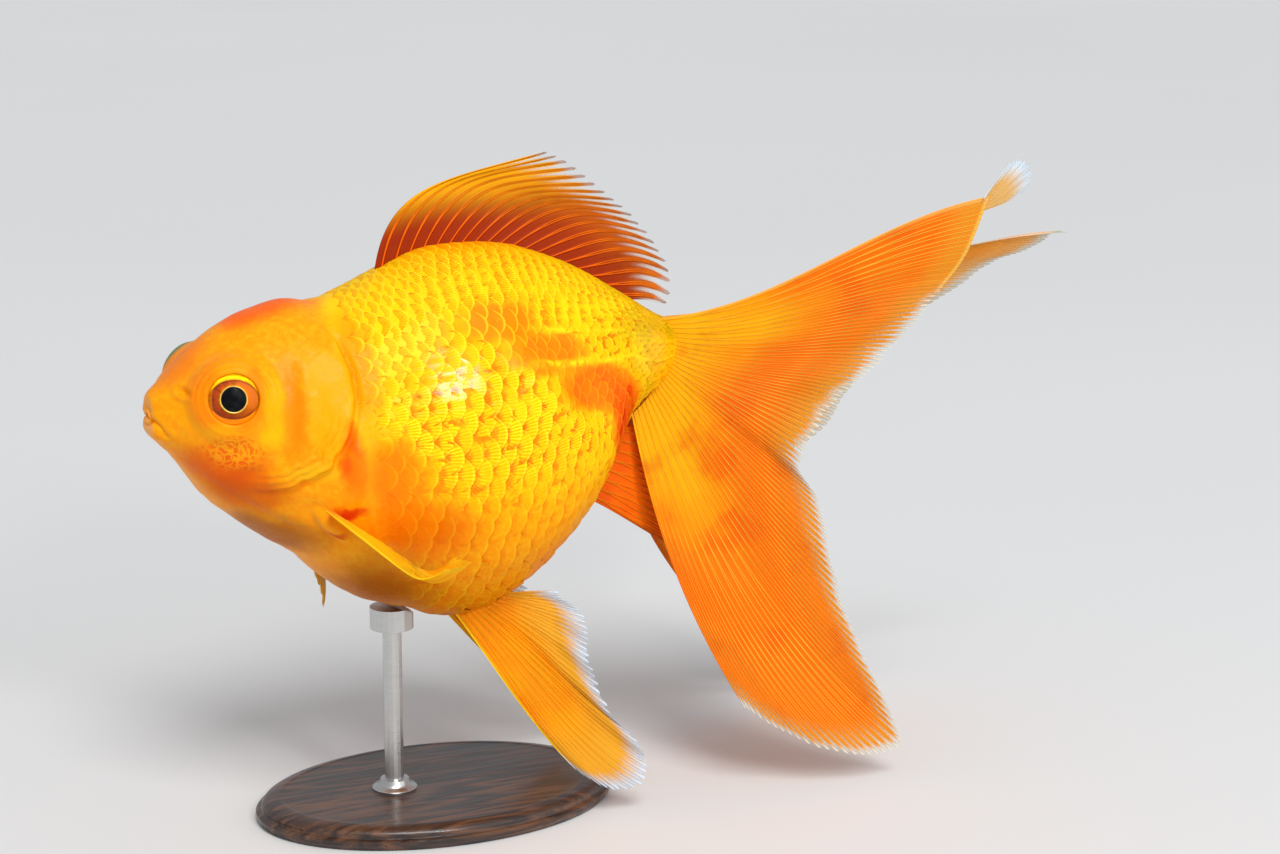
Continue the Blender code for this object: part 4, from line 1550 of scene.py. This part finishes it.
@dataclass
class Fin:
    """One fin: a thin sheet with raised rays that branch, and an edge that frays between them."""

    name: str
    shape: FinShape
    finish: FinFinish
    replaced: tuple[str, ...]
    rays: float = 14.0
    columns: int = 360
    rows: int = 64
    mirrored: bool = False
    place: Matrix = field(default_factory=Matrix)
    teeth: float = 4.0  # ray ends a ray
    fray: float = 0.6  # depth between two ray ends, in millimetres
    tear: float = 0.4  # further, at some of the gaps
    bone: float = 0.20  # half thickness of a ray at the root, in millimetres
    film: float = 0.07  # half thickness of the skin between
    ripple: float = 0.4  # of the sheet near its edge
    ripples: float = 7.0
    seed: int = 1

    def reach(self, across: Array, length: Array) -> Array:
        """Gives how far out the sheet goes along each ray, with the gaps between ray ends.

        Args:
            across: Shares from the leading ray to the last.
            length: The length of each ray, in millimetres.

        Returns:
            The share of the ray's length.
        """
        gaps = self.teeth * self.rays
        phase = across * gaps
        open_share = np.abs(np.sin(math.pi * phase)) ** 0.7
        count = int(gaps) + 2
        chance = scatter(count, self.seed)
        deep = chance[np.clip((phase + 0.5).astype(int), 0, count - 1)] ** 3
        near = 1.0 - np.abs(np.mod(phase + 0.5, 1.0) - 0.5) * 2.0
        notch = self.fray * (1.0 - open_share) + self.tear * deep * smooth(0.45, 0.95, near)
        sound = self.finish.sound
        ends = smooth(sound, sound + 0.02 + 0.5 * sound, across) * smooth(1.0, 0.98, across)
        slow = 0.45 * np.sin(37.0 * across + self.seed) + 0.35 * np.sin(83.0 * across)
        return 1.0 - ends * (notch + np.abs(min(1.0, self.fray / 0.6) * slow)) / length

    def build(self) -> bpy.types.Object:
        """Builds and dresses the fin.

        Returns:
            The piece.
        """
        across = np.linspace(0.0, 1.0, self.columns)
        even = np.linspace(0.0, 1.0, self.rows)
        whole = self.shape.points(across, np.broadcast_to(even, (self.columns, self.rows)))
        length = np.linalg.norm(np.diff(whole, axis=1), axis=-1).sum(axis=1)
        reach = self.reach(across, length)
        along = even[None, :] * reach[:, None]
        rim = (1.0 - even)[None, :] * (length * reach)[:, None]
        points = self.shape.points(across, along)
        normals = grid_normals(points)
        ray = Branching(rays=self.rays, split=self.finish.split).ridge(across[:, None] + 0 * along, along)
        wave = np.sin(2 * math.pi * (self.ripples * across[:, None] + 0.6 * along + 0.1 * self.seed))
        points = points + normals * (self.ripple * wave * along**2.2)[..., None]
        normals = grid_normals(points)
        thin = 1.0 - 0.55 * along
        half = self.film * thin + self.bone * ray * thin
        half *= smooth(1.0, 0.97, even)[None, :] * 0.75 + 0.25
        shift = normals * half[..., None]
        body = np.concatenate([(points + shift).reshape(-1, 3), (points - shift).reshape(-1, 3)])
        faces = slab_faces(self.columns, self.rows)
        if self.mirrored:
            body = body * np.array([1.0, -1.0, 1.0])
            faces = faces[:, ::-1]
        turn = np.array(self.place)
        body = body @ turn[:3, :3].T + turn[:3, 3]
        mesh = mesh_from(self.name, to_world(body), [faces], 60.0)
        places = np.stack([across[:, None] + 0 * along, along], -1).reshape(-1, 2)
        add_map(mesh, "rays", np.concatenate([places, places]))
        add_value(mesh, "rim", np.tile(rim.reshape(-1), 2))
        return settle(self.name, mesh, self.finish.make(self.rays), Slot.FIN, self.replaced)


DORSAL = FinShape(
    (-10.3, 0, 31.1), (36.5, 0, 25.0), (0, 0, 8.0), (84, -14), 0.48, 1.0,
    (
        (0.00, 23.3, 1.0, 52.9, -19), (0.14, 28.4, 1.5, 50.4, -22), (0.32, 34.8, 1.5, 45.2, -20),
        (0.50, 40.8, 1.0, 40.0, -22), (0.68, 45.4, 0.0, 34.0, -24), (0.84, 48.0, -0.5, 28.3, -24),
        (1.00, 47.3, -0.5, 22.4, -18),
    ),
)
CAUDAL_LEFT = FinShape(
    (44.0, -0.8, 20.6), (38.4, -4.0, 3.6), (4.5, -0.6, 0), (3, -86), 0.36, 0.95,
    (
        (0.00, 102.6, -23, 42.8, -10), (0.06, 98.8, -22, 32.3, -8), (0.105, 94.8, -21, 26.4, -8),
        (0.195, 88.6, -20, 18.8, -4), (0.27, 82.6, -19, 12.4, -4), (0.345, 76.4, -18, 7.4, -4),
        (0.42, 71.4, -17, 1.6, -4), (0.49, 67.6, -16, -6.6, -4), (0.55, 71.6, -17, -14.8, 0),
        (0.62, 73.4, -18.5, -25.6, 6), (0.705, 78.0, -21.5, -42.0, 10), (0.79, 85.2, -25, -59.6, 14),
        (0.84, 78.8, -25, -62.1, 16), (0.91, 66.0, -23.5, -58.6, 18), (1.00, 53.4, -21, -50.2, 12),
    ),
)
CREST = FinShape(  # the flared end of the near tail fin's upper lobe, beyond its twist
    (101.3, -23.4, 42.4), (101.0, -22.2, 39.8), (0, 0, 0), (52, 12), 0.33, 1.2,
    (
        (0.00, 106.6, -22.6, 48.6, 6), (0.30, 109.6, -22.4, 49.4, 0), (0.60, 112.1, -22.0, 48.0, 4),
        (0.85, 113.0, -21.6, 45.6, 10), (1.00, 111.6, -21.0, 43.2, 20),
    ),
)
CAUDAL_RIGHT = FinShape(
    (44.0, 0.8, 20.6), (38.4, 4.0, 3.6), (4.5, 0.6, 0), (-3, -80), 0.36, 1.1,
    (
        (0.00, 141.5, 10, 28.7, -8), (0.07, 139.6, 12, 27.6, -8), (0.14, 134.6, 16, 24.2, -8),
        (0.22, 127.0, 20, 19.6, -8), (0.30, 117.4, 23, 13.2, -8), (0.38, 104.8, 24, 6.0, -6),
        (0.46, 100.4, 24, -2.8, -6), (0.53, 93.6, 23, -10.0, -4), (0.59, 83.8, 21, -15.0, 0),
        (0.66, 85.6, 23, -25.0, 6), (0.75, 89.0, 25, -38.0, 10), (0.85, 91.0, 27, -54.0, 14),
        (0.92, 83.0, 27, -58.5, 16), (1.00, 73.0, 25, -52.0, 10),
    ),
)
ANAL = FinShape(
    (29.5, -2.2, -11.5), (38.0, -2.4, 1.0), (-1.0, 0, 0), (-30, -8), 0.36, 1.1,
    (
        (0.0, 52.0, -5.5, -26.0, 0), (0.3, 57.0, -6.5, -22.4, 0), (0.65, 58.0, -6.5, -14.0, 0),
        (1.0, 53.0, -5.0, -5.0, 0),
    ),
)
PELVIC = FinShape(
    (-0.4, -7.5, -26.6), (6.6, -8.5, -25.6), (0, 0, 0), (-56, -6), 0.36, 1.0,
    (
        (0.00, 20.4, -18.5, -58.4, 8), (0.10, 25.4, -20, -62.0, 14), (0.19, 30.2, -21, -63.0, 16),
        (0.29, 34.0, -21, -60.1, 14), (0.41, 32.2, -20.5, -54.2, 8), (0.52, 28.2, -19, -49.6, 4),
        (0.64, 24.6, -18, -41.2, 0), (0.76, 23.8, -17, -35.6, -4), (0.88, 23.8, -16, -30.8, -6),
        (1.00, 18.8, -14, -25.2, -6),
    ),
)
PECTORAL_LEFT = FinShape(  # lying flat, its leading edge at +Z and its rays towards +X, with its end bent up
    (-1.5, 0, 2.4), (-1.5, 0, -2.4), (0, 0, 0), (16, -34), 0.36, 18.0,
    (
        (0.00, 21.4, 4.6, 6.0, -6), (0.12, 22.8, 5.6, 5.0, -6), (0.36, 23.4, 6.6, 1.0, 0),
        (0.60, 23.2, 6.8, -3.0, 4), (0.82, 22.4, 6.4, -5.4, 8), (1.00, 20.0, 5.6, -6.0, 8),
    ),
)
PECTORAL_RIGHT = FinShape(
    (-1.5, 0, 2.4), (-1.5, 0, -2.4), (0, 0, 0), (16, -34), 0.36, 4.5,
    (
        (0.00, 30.0, -3.6, 6.0, -6), (0.12, 33.5, -4.6, 4.0, -6), (0.36, 29.0, -2.9, -0.5, 0),
        (0.60, 23.0, -1.6, -4.5, 4), (0.82, 19.0, -0.6, -8.0, 8), (1.00, 13.0, 0.0, -8.6, 8),
    ),
)
PELVIC_RIGHT_TURN = turn_about((2.0, 8.0, -27.0), (0.40, 0.92, 0.0), -13.0)
PECTORAL_LEFT_SEAT = Seat((-25.0, -20.0, -5.0), (0.637, -0.550, -0.541), (-0.335, -0.904, 0.266), 8.0)
PECTORAL_RIGHT_SEAT = Seat((-20.6, 20.6, -6.0), (0.38, 0.15, -0.93), (0.38, 0.90, -0.22), 8.0)


@dataclass
class Fins:
    """Every fin of the fish, with the finish that suits it."""

    tail_finish: FinFinish = FinFinish(
        "tail membrane", root=tint(255, 180, 0), middle=tint(246, 112, 0), margin=tint(214, 208, 190),
        ray=tint(255, 200, 60), membrane=tint(228, 84, 0), margin_alpha=0.3, pale=2.4, clear=(9.0, 1.0),
        outer=tint(222, 150, 36), turn=(0.05, 0.50), membrane_share=0.16, ray_share=0.75,
        leading=tint(255, 180, 90), leading_width=0.012, glow=0.13,
    )
    crest_finish: FinFinish = FinFinish(
        "tail crest membrane", root=tint(250, 160, 10), middle=tint(236, 176, 80),
        margin=tint(206, 218, 228), ray=tint(240, 226, 200), membrane=tint(170, 150, 120),
        margin_alpha=0.85, pale=6.0, clear=(1.5, 0.2), wander=0.5, outer=tint(236, 176, 80),
        leading=tint(206, 218, 228), ray_share=0.9, split=0.0, width=1.6, tooth=0.25,
    )
    dorsal_finish: FinFinish = FinFinish(
        "dorsal membrane", root=tint(240, 92, 0), middle=tint(226, 112, 8), margin=tint(206, 206, 200),
        ray=tint(238, 104, 8), membrane=tint(140, 36, 2), membrane_share=0.72, shade=(1.25, 0.55),
        outer=tint(214, 134, 44), ray_share=0.7, pale=2.4, clear=(9.0, 1.5), margin_alpha=0.16,
        leading_width=0.60, leading_from=(0.14, 0.5), leading=tint(255, 184, 0), split=0.35, width=1.7,
        tooth=0.17,
    )
    pelvic_finish: FinFinish = FinFinish(
        "pelvic membrane", root=tint(255, 150, 0), middle=tint(250, 150, 2), margin=tint(206, 218, 232),
        ray=tint(255, 200, 40), membrane=tint(240, 126, 0), membrane_share=0.14, pale=5.5,
        clear=(6.0, 0.8), outer=tint(232, 172, 50), margin_alpha=0.4,
    )
    anal_finish: FinFinish = FinFinish(
        "anal membrane", root=tint(255, 110, 0), middle=tint(255, 120, 0), margin=tint(226, 120, 30),
        ray=tint(255, 176, 30), membrane=tint(226, 78, 0), pale=1.0, clear=(1.6, 0.6), wander=0.8,
        outer=tint(250, 130, 10), leading=tint(214, 88, 4),
    )
    pectoral_finish: FinFinish = FinFinish(
        "pectoral membrane", root=tint(250, 124, 0), middle=tint(255, 184, 0), margin=tint(255, 190, 20),
        ray=tint(255, 210, 30), membrane=tint(250, 142, 0), turn=(0.02, 0.16), pale=0.8, clear=(0.6, 0.1),
        margin_alpha=1.0, middle_alpha=1.0, wander=0.3, outer=tint(255, 172, 0),
    )

    def all(self) -> list[Fin]:
        """Lists the fins.

        Returns:
            One entry a fin, and one for the crest.
        """
        tail, pelvic, pectoral = self.tail_finish, self.pelvic_finish, self.pectoral_finish
        near_tail = replace(tail, name="near tail membrane", sound=0.09)
        broad = {"rays": 26, "columns": 720, "rows": 50, "fray": 1.0, "tear": 1.2, "bone": 0.14}
        long = {"rays": 10, "columns": 300, "rows": 56, "fray": 0.8, "tear": 1.0, "bone": 0.16}
        small = {"rays": 8.0, "columns": 220, "rows": 48}
        # painted light: the far tail lobe lies in shade, so its middle and the band inside its pale edge are
        # painted lighter than the near one's
        far_tail_painted_lighter = replace(
            tail, name="far tail membrane", middle=tint(255, 150, 10), outer=tint(255, 196, 100), pale=4.5,
            margin_alpha=0.5, leading=tint(236, 216, 190), leading_width=0.04, leading_from=(0.6, 0.85),
        )
        # painted light: the far pectoral fin lies in the belly's shade, so its colours are painted paler
        # than the near one's
        far_pectoral_painted_lighter = replace(
            pectoral, name="far pectoral membrane", middle=tint(255, 176, 50), outer=tint(255, 206, 130),
            pale=5.0, ray=tint(255, 220, 120), membrane=tint(255, 190, 90),
        )
        return [
            Fin("dorsal", DORSAL, self.dorsal_finish, ("dorsal_fin",), rays=19, columns=400, rows=60,
                teeth=1.0, fray=1.8, tear=1.8, bone=0.24, ripple=0.25, seed=3),
            Fin("tail_left", CAUDAL_LEFT, near_tail, ("tail_fin_left",), seed=5, **broad),
            Fin("tail_left_crest", CREST, self.crest_finish, (), rays=6, columns=120, rows=30, teeth=1.0,
                fray=0.9, tear=0.5, bone=0.05, ripple=0.15, ripples=2.0, seed=6),
            Fin("tail_right", CAUDAL_RIGHT, far_tail_painted_lighter, ("tail_fin_right",), seed=8, **broad),
            Fin("anal_left", ANAL, self.anal_finish, ("anal_fin_left",), ripple=0.2, seed=11, **small),
            Fin("anal_right", ANAL, self.anal_finish, ("anal_fin_right",), ripple=0.2, seed=12,
                mirrored=True, **small),
            Fin("pelvic_left", PELVIC, pelvic, ("pelvic_fin_left",), seed=14, **long),
            Fin("pelvic_right", PELVIC, pelvic, ("pelvic_fin_right",), seed=15, mirrored=True,
                place=PELVIC_RIGHT_TURN, **long),
            Fin("pectoral_left", PECTORAL_LEFT, pectoral, ("pectoral_fin_left",), fray=0.1, tear=0.0,
                ripple=0.2, ripples=3.0, seed=17, place=PECTORAL_LEFT_SEAT.matrix(), rays=8.0, columns=200,
                rows=120),
            Fin("pectoral_right", PECTORAL_RIGHT, far_pectoral_painted_lighter, ("pectoral_fin_right",), ripple=0.15,
                seed=18, mirrored=True, place=PECTORAL_RIGHT_SEAT.matrix(), **small),
        ]

    def build(self) -> list[bpy.types.Object]:
        """Builds every fin."""
        return [fin.build() for fin in self.all()]


# ---------------------------------------------------------------- the eyes

IRIS_STOPS = [  # share of the eye's radius, colour
    (0.50, tint(190, 96, 12)), (0.58, tint(170, 60, 8)), (0.74, tint(138, 40, 6)),
    (0.83, tint(232, 130, 8)), (0.90, tint(255, 176, 20)),
]


@dataclass
class Eye:
    """An eyeball with a sunk iris, a gold ring and a black lens, under a clear dome."""

    seat: EyeSeat
    segments: int = 96
    pupil: float = 2.15  # radii from the eye's axis, in millimetres
    ring: float = 2.40
    iris: float = 4.15
    dome_gap: float = 0.06  # between the eyeball and the outside of its dome
    dome_thickness: float = 0.25

    def profile(self) -> Array:
        """Works out the eyeball's outline from the pupil to the back.

        Returns:
            Rows of radius and height, in millimetres.
        """
        ball = self.seat.radius
        front = [(0.25, 3.92), (0.9, 3.82), (1.5, 3.56), (1.95, 3.24), (self.pupil, 2.98)]
        front += [(2.20, 3.08), (2.26, 3.16), (2.34, 3.16), (self.ring, 3.04), (3.1, 2.88), (3.7, 2.74)]
        front += [(self.iris, 2.62), (4.3, 2.66)]
        edge = math.acos(2.66 / ball)
        rest = [(ball * math.sin(a), ball * math.cos(a)) for a in np.linspace(edge, math.pi - 0.1, 22)]
        scale = ball / 5.0
        return np.array([(r * scale, h * scale) for r, h in front] + rest)

    def dome(self) -> Array:
        """Works out the clear dome's outline, outside and then inside.

        Returns:
            Rows of radius and height, in millimetres.
        """
        ball = self.seat.radius + self.dome_gap
        outer = [(ball * math.sin(a), ball * math.cos(a)) for a in np.linspace(0.06, 1.22, 20)]
        thick = self.dome_thickness
        inner = [(r * (ball - thick) / ball, h * (ball - thick) / ball) for r, h in reversed(outer)]
        return np.array(outer + inner)

    def turned(self, points: Array) -> Array:
        """Turns points to look along the eye's axis, and moves them to its place.

        Args:
            points: Points about Z.

        Returns:
            Points about the fish's axis.
        """
        z = self.seat.axis
        x = np.cross(np.array([0.0, 0.0, 1.0]), z)
        x /= np.linalg.norm(x)
        y = np.cross(z, x)
        return points @ np.stack([x, y, z]) + self.seat.middle

    def build(self) -> list[bpy.types.Object]:
        """Builds and dresses the eyeball and its dome.

        Returns:
            The two pieces.
        """
        word = self.seat.side.word
        points, faces = lathe(self.profile(), self.segments)
        out = np.hypot(points[:, 0], points[:, 1])
        mesh = mesh_from(f"eye_{word}", to_world(self.turned(points)), faces)
        add_map(mesh, "iris", points[:, :2] / np.maximum(out, 1e-6)[:, None] * 0.5 + 0.5)
        add_value(mesh, "radius", out / self.seat.radius)
        ball = settle(f"eyeball_{word}", mesh, self.ball_finish(), Slot.EYE, (f"eye_{word}",))
        points, faces = lathe(self.dome(), self.segments)
        mesh = mesh_from(f"cornea_{word}", to_world(self.turned(points)), faces)
        clear = settle(f"cornea_{word}", mesh, self.dome_finish(), Slot.EYE)
        clear.visible_shadow = False
        return [ball, clear]

    def ball_finish(self) -> bpy.types.Material:
        """Makes the iris: brown-red with dark spokes, lighter and more golden to one side as partly painted
        light, darker below as painted shadow, with painted shade in the crease round it, a pale gold ring, a
        black lens.

        Returns:
            The material.
        """
        paint = Paint("iris and lens", Roughness=0.3, Specular_IOR_Level=0.04)
        radius = paint.value("radius")
        wide, high = ((part - 0.5) * 2.0 for part in paint.map("iris"))
        way = paint.join(wide, high, radius * 0.35)
        spokes = paint.noise(way, 9.0, 3.0, 0.65)
        iris = paint.ramp(radius, IRIS_STOPS)
        iris = iris.tinted(spokes.between(0.46, 0.66, 0.0, 0.85), tint(70, 24, 10))
        # painted light and shadow of the sunk socket: lighter orange to one side, partly the iris's own
        # gold, and darker red-brown towards the bottom
        side = wide * 0.7 + paint.noise(way, 1.6) * 0.5
        iris = iris.tinted(side.between(0.0, 0.8, 0.0, 0.6), tint(214, 104, 12))
        iris = iris.tinted(high.between(-0.2, -0.9, 0.0, 0.5), tint(110, 30, 6))
        oval = paint.vector("LENGTH", paint.join(wide * radius * (1.0 / 0.86), high * radius * (1.0 / 0.67)))
        folds = paint.math("SINE", oval * 42.0).between(0.2, 0.95, 0.0, 0.5)
        upper = paint.blend(folds, tint(255, 196, 0), tint(226, 110, 0))
        lid = paint.blend(high.between(-0.25, 0.25), tint(244, 118, 0), upper)
        # painted shade: a dark line in the crease round the eye's opening
        painted_crease_shade = oval.between(0.90, 0.98) * oval.between(1.08, 1.0)
        iris = iris.tinted(oval.between(0.99, 1.05), lid).tinted(painted_crease_shade * 0.65, tint(96, 28, 4))
        ring = radius.between(0.436, 0.446) * radius.between(0.480, 0.466)
        lens = radius.between(0.440, 0.430)
        return paint.finish(
            Base_Color=iris.tinted(ring, tint(244, 206, 96)).tinted(lens, (0.003, 0.003, 0.004)),
            Metallic=ring * 0.5,
            Roughness=lens.between(0.0, 1.0, 0.32, 0.06),
            Normal=paint.bump(spokes * radius.between(0.5, 0.6), 0.0001),
        )

    def dome_finish(self) -> bpy.types.Material:
        """Makes the clear dome, faintly uneven and faintly green.

        Returns:
            The material.
        """
        paint = Paint("cornea", Roughness=0.02, IOR=1.10, Transmission_Weight=1.0)
        haze = paint.noise(paint.group(MARKINGS.place)["Plain"], 0.8)
        colour = paint.blend(haze.between(0.3, 0.7), (0.97, 1.0, 0.98), (0.90, 0.98, 0.95))
        return paint.finish(Base_Color=colour, Normal=paint.bump(haze, 0.00001))


# ---------------------------------------------------------------- the stand


@dataclass
class Stand:
    """A turned oval foot of dark wood, and the steel rod and cup with a collar at the rod's foot."""

    segments: int = 128
    rod_x: float = -8.0
    rod_radius: float = 1.75
    # radius and height of the foot's outline, as shares of its half width and its thickness
    foot: tuple[tuple[float, float], ...] = (
        (0.02, 0.0), (0.965, 0.0), (0.985, 0.05), (0.99, 0.16), (1.0, 0.22), (1.0, 0.42), (0.99, 0.48),
        (0.972, 0.52), (0.966, 0.60), (0.968, 0.68), (0.960, 0.78), (0.940, 0.88), (0.905, 0.96),
        (0.88, 0.985), (0.865, 1.0), (0.86, 0.985), (0.855, 0.975), (0.84, 0.975), (0.6, 0.985), (0.3, 0.99),
    )
    # how far the collar's outline is out of the rod, and its height, in millimetres
    collar: tuple[tuple[float, float], ...] = (
        (2.3, 0.0), (2.4, 0.35), (2.2, 0.6), (1.5, 0.75), (1.15, 1.1), (1.0, 1.7), (0.85, 2.0), (0.45, 2.15),
        (0.06, 2.2),
    )

    def build(self) -> list[bpy.types.Object]:
        """Builds the foot and the collar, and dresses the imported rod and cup.

        Returns:
            The two pieces.
        """
        low, high = (np.array(corner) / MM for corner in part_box("stand_base"))
        half = (high - low)[:2] / 2
        thick = high[2]
        points, faces = lathe(np.array(self.foot) * (1.0, thick), self.segments)
        mesh = mesh_from("stand_foot_board", points * (*half, 1.0) * MM, faces, 40.0)
        foot = settle("stand_foot_board", mesh, self.wood(), Slot.WOOD, ("stand_base",))
        steel = self.steel()
        points, faces = lathe(np.array(self.collar) + (self.rod_radius, 0.0), self.segments)
        mesh = mesh_from("stand_collar", (points + (self.rod_x, 0.0, thick * 0.985)) * MM, faces, 40.0)
        ring = settle("stand_collar", mesh, steel, Slot.STEEL)
        for name in ("stand_rod", "stand_cup"):
            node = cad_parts[name]
            node.data.materials.clear()
            node.data.materials.append(steel)
            log.info("%s: dressed", name)
        return [foot, ring]

    def wood(self) -> bpy.types.Material:
        """Makes dark walnut with a long grain, open pores and a satin lacquer.

        Returns:
            The material.
        """
        paint = Paint("dark walnut", Coat_Weight=0.4, Coat_Roughness=0.18)
        grain = paint.grain((60.0, 700.0, 700.0), 5.0, 0.6)
        rings = paint.math("SINE", paint.grain((18.0, 130.0, 130.0)) * 46.0)
        stops = [(0.28, tint(34, 20, 13)), (0.5, tint(66, 40, 25)), (0.75, tint(98, 62, 38))]
        pores = paint.grain((180.0, 2600.0, 2600.0))
        colour = paint.ramp(rings * 0.18 + grain, stops)
        return paint.finish(
            Base_Color=colour.tinted(pores.between(0.60, 0.68, 0.0, 0.7), tint(20, 12, 8)),
            Roughness=grain.between(0.3, 0.7, 0.34, 0.5),
            Normal=paint.bump(grain - pores, 0.00008),
        )

    def steel(self) -> bpy.types.Material:
        """Makes brushed steel, with fine turning marks.

        Returns:
            The material.
        """
        paint = Paint("brushed steel", Metallic=1.0)
        lines = paint.grain((300.0, 300.0, 9000.0), 3.0)
        smudge = paint.noise(paint.coordinates(), 160.0, 3.0)
        return paint.finish(
            Base_Color=paint.blend(lines, (0.50, 0.50, 0.49), (0.68, 0.68, 0.66)),
            Roughness=smudge.between(0.3, 0.7, 0.24, 0.38),
            Normal=paint.bump(lines, 0.00002),
        )


# ---------------------------------------------------------------- the room


@dataclass
class Room:
    """A plain pale floor, soft studio lamps and the camera."""

    look_at: Place = (0.042, 0.0, 0.0675)
    distance: float = 0.565
    azimuth: float = -25.0
    elevation: float = 13.0
    lens: float = 85.0
    floor_half: float = 4.0

    def build(self) -> None:
        """Builds the floor, lamps, world and camera."""
        self.floor()
        self.lamp("key light", (-0.08, -0.62, 0.85), "SUN", energy=1.75, angle=math.radians(24.0))
        self.lamp("glint lamp", (0.05, -0.66, 0.42), "AREA", energy=1.3, size=0.12)
        self.lamp("fill lamp", (0.70, -0.75, 0.25), "AREA", energy=1.6, size=0.8)
        world = bpy.data.worlds.new("studio")
        world.use_nodes = True
        sky = world.node_tree.nodes["Background"].inputs
        sky["Color"].default_value = (0.92, 0.95, 1.0, 1.0)
        sky["Strength"].default_value = 0.50
        bpy.context.scene.world = world
        view = bpy.context.scene.view_settings
        view.view_transform = "Standard"
        view.look = "None"
        self.camera()

    def floor(self) -> None:
        """Lays the floor."""
        corners = np.array([(-1, -1, 0), (1, -1, 0), (1, 1, 0), (-1, 1, 0)], float)
        mesh = mesh_from("floor", corners * self.floor_half, [np.array([[0, 1, 2, 3]])])
        paint = Paint("pale floor", Roughness=0.7)
        cloud = paint.noise(paint.coordinates(), 3.0)
        colour = paint.blend(cloud, (0.74, 0.74, 0.73), (0.78, 0.78, 0.77))
        mesh.materials.append(paint.finish(Base_Color=colour))
        floor = stood("floor", mesh)

    def aimed(self, name: str, data: bpy.types.ID, spot: Vector) -> bpy.types.Object:
        """Stands a lamp or a camera in the room, facing the fish.

        Args:
            name: Its name.
            data: The lamp or camera.
            spot: Its place, in metres.

        Returns:
            The object.
        """
        thing = stood(name, data)
        thing.location = spot
        thing.rotation_euler = (Vector(self.look_at) - spot).to_track_quat("-Z", "Y").to_euler()
        return thing

    def lamp(self, name: str, spot: Place, kind: str, **settings: float) -> None:
        """Hangs a light that faces the fish.

        Args:
            name: The light's name.
            spot: Its place, in metres.
            kind: Blender's kind of light.
            **settings: Its power, and its width in metres or as an angle.
        """
        light = bpy.data.lights.new(name, kind)
        for key, value in settings.items():
            setattr(light, key, value)
        self.aimed(name, light, Vector(spot))

    def camera(self) -> None:
        """Sets up the camera."""
        a, e = math.radians(self.azimuth), math.radians(self.elevation)
        back = Vector((math.sin(a) * math.cos(e), -math.cos(a) * math.cos(e), math.sin(e)))
        data = bpy.data.cameras.new("camera")
        data.lens = self.lens
        data.sensor_width = 36.0
        data.clip_start = 0.01
        bpy.context.scene.camera = self.aimed("camera", data, Vector(self.look_at) + back * self.distance)


def main() -> None:
    """Builds the fish on its stand, and the room round them."""
    logging.basicConfig(level=logging.INFO, format="%(name)s: %(message)s")
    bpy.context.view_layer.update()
    body = Body()
    Skin(body).build()
    Coat(body).build()
    Fins().build()
    for seat in EYES.values():
        Eye(seat).build()
    Stand().build()
    Room().build()


if __name__ == "__main__":
    main()
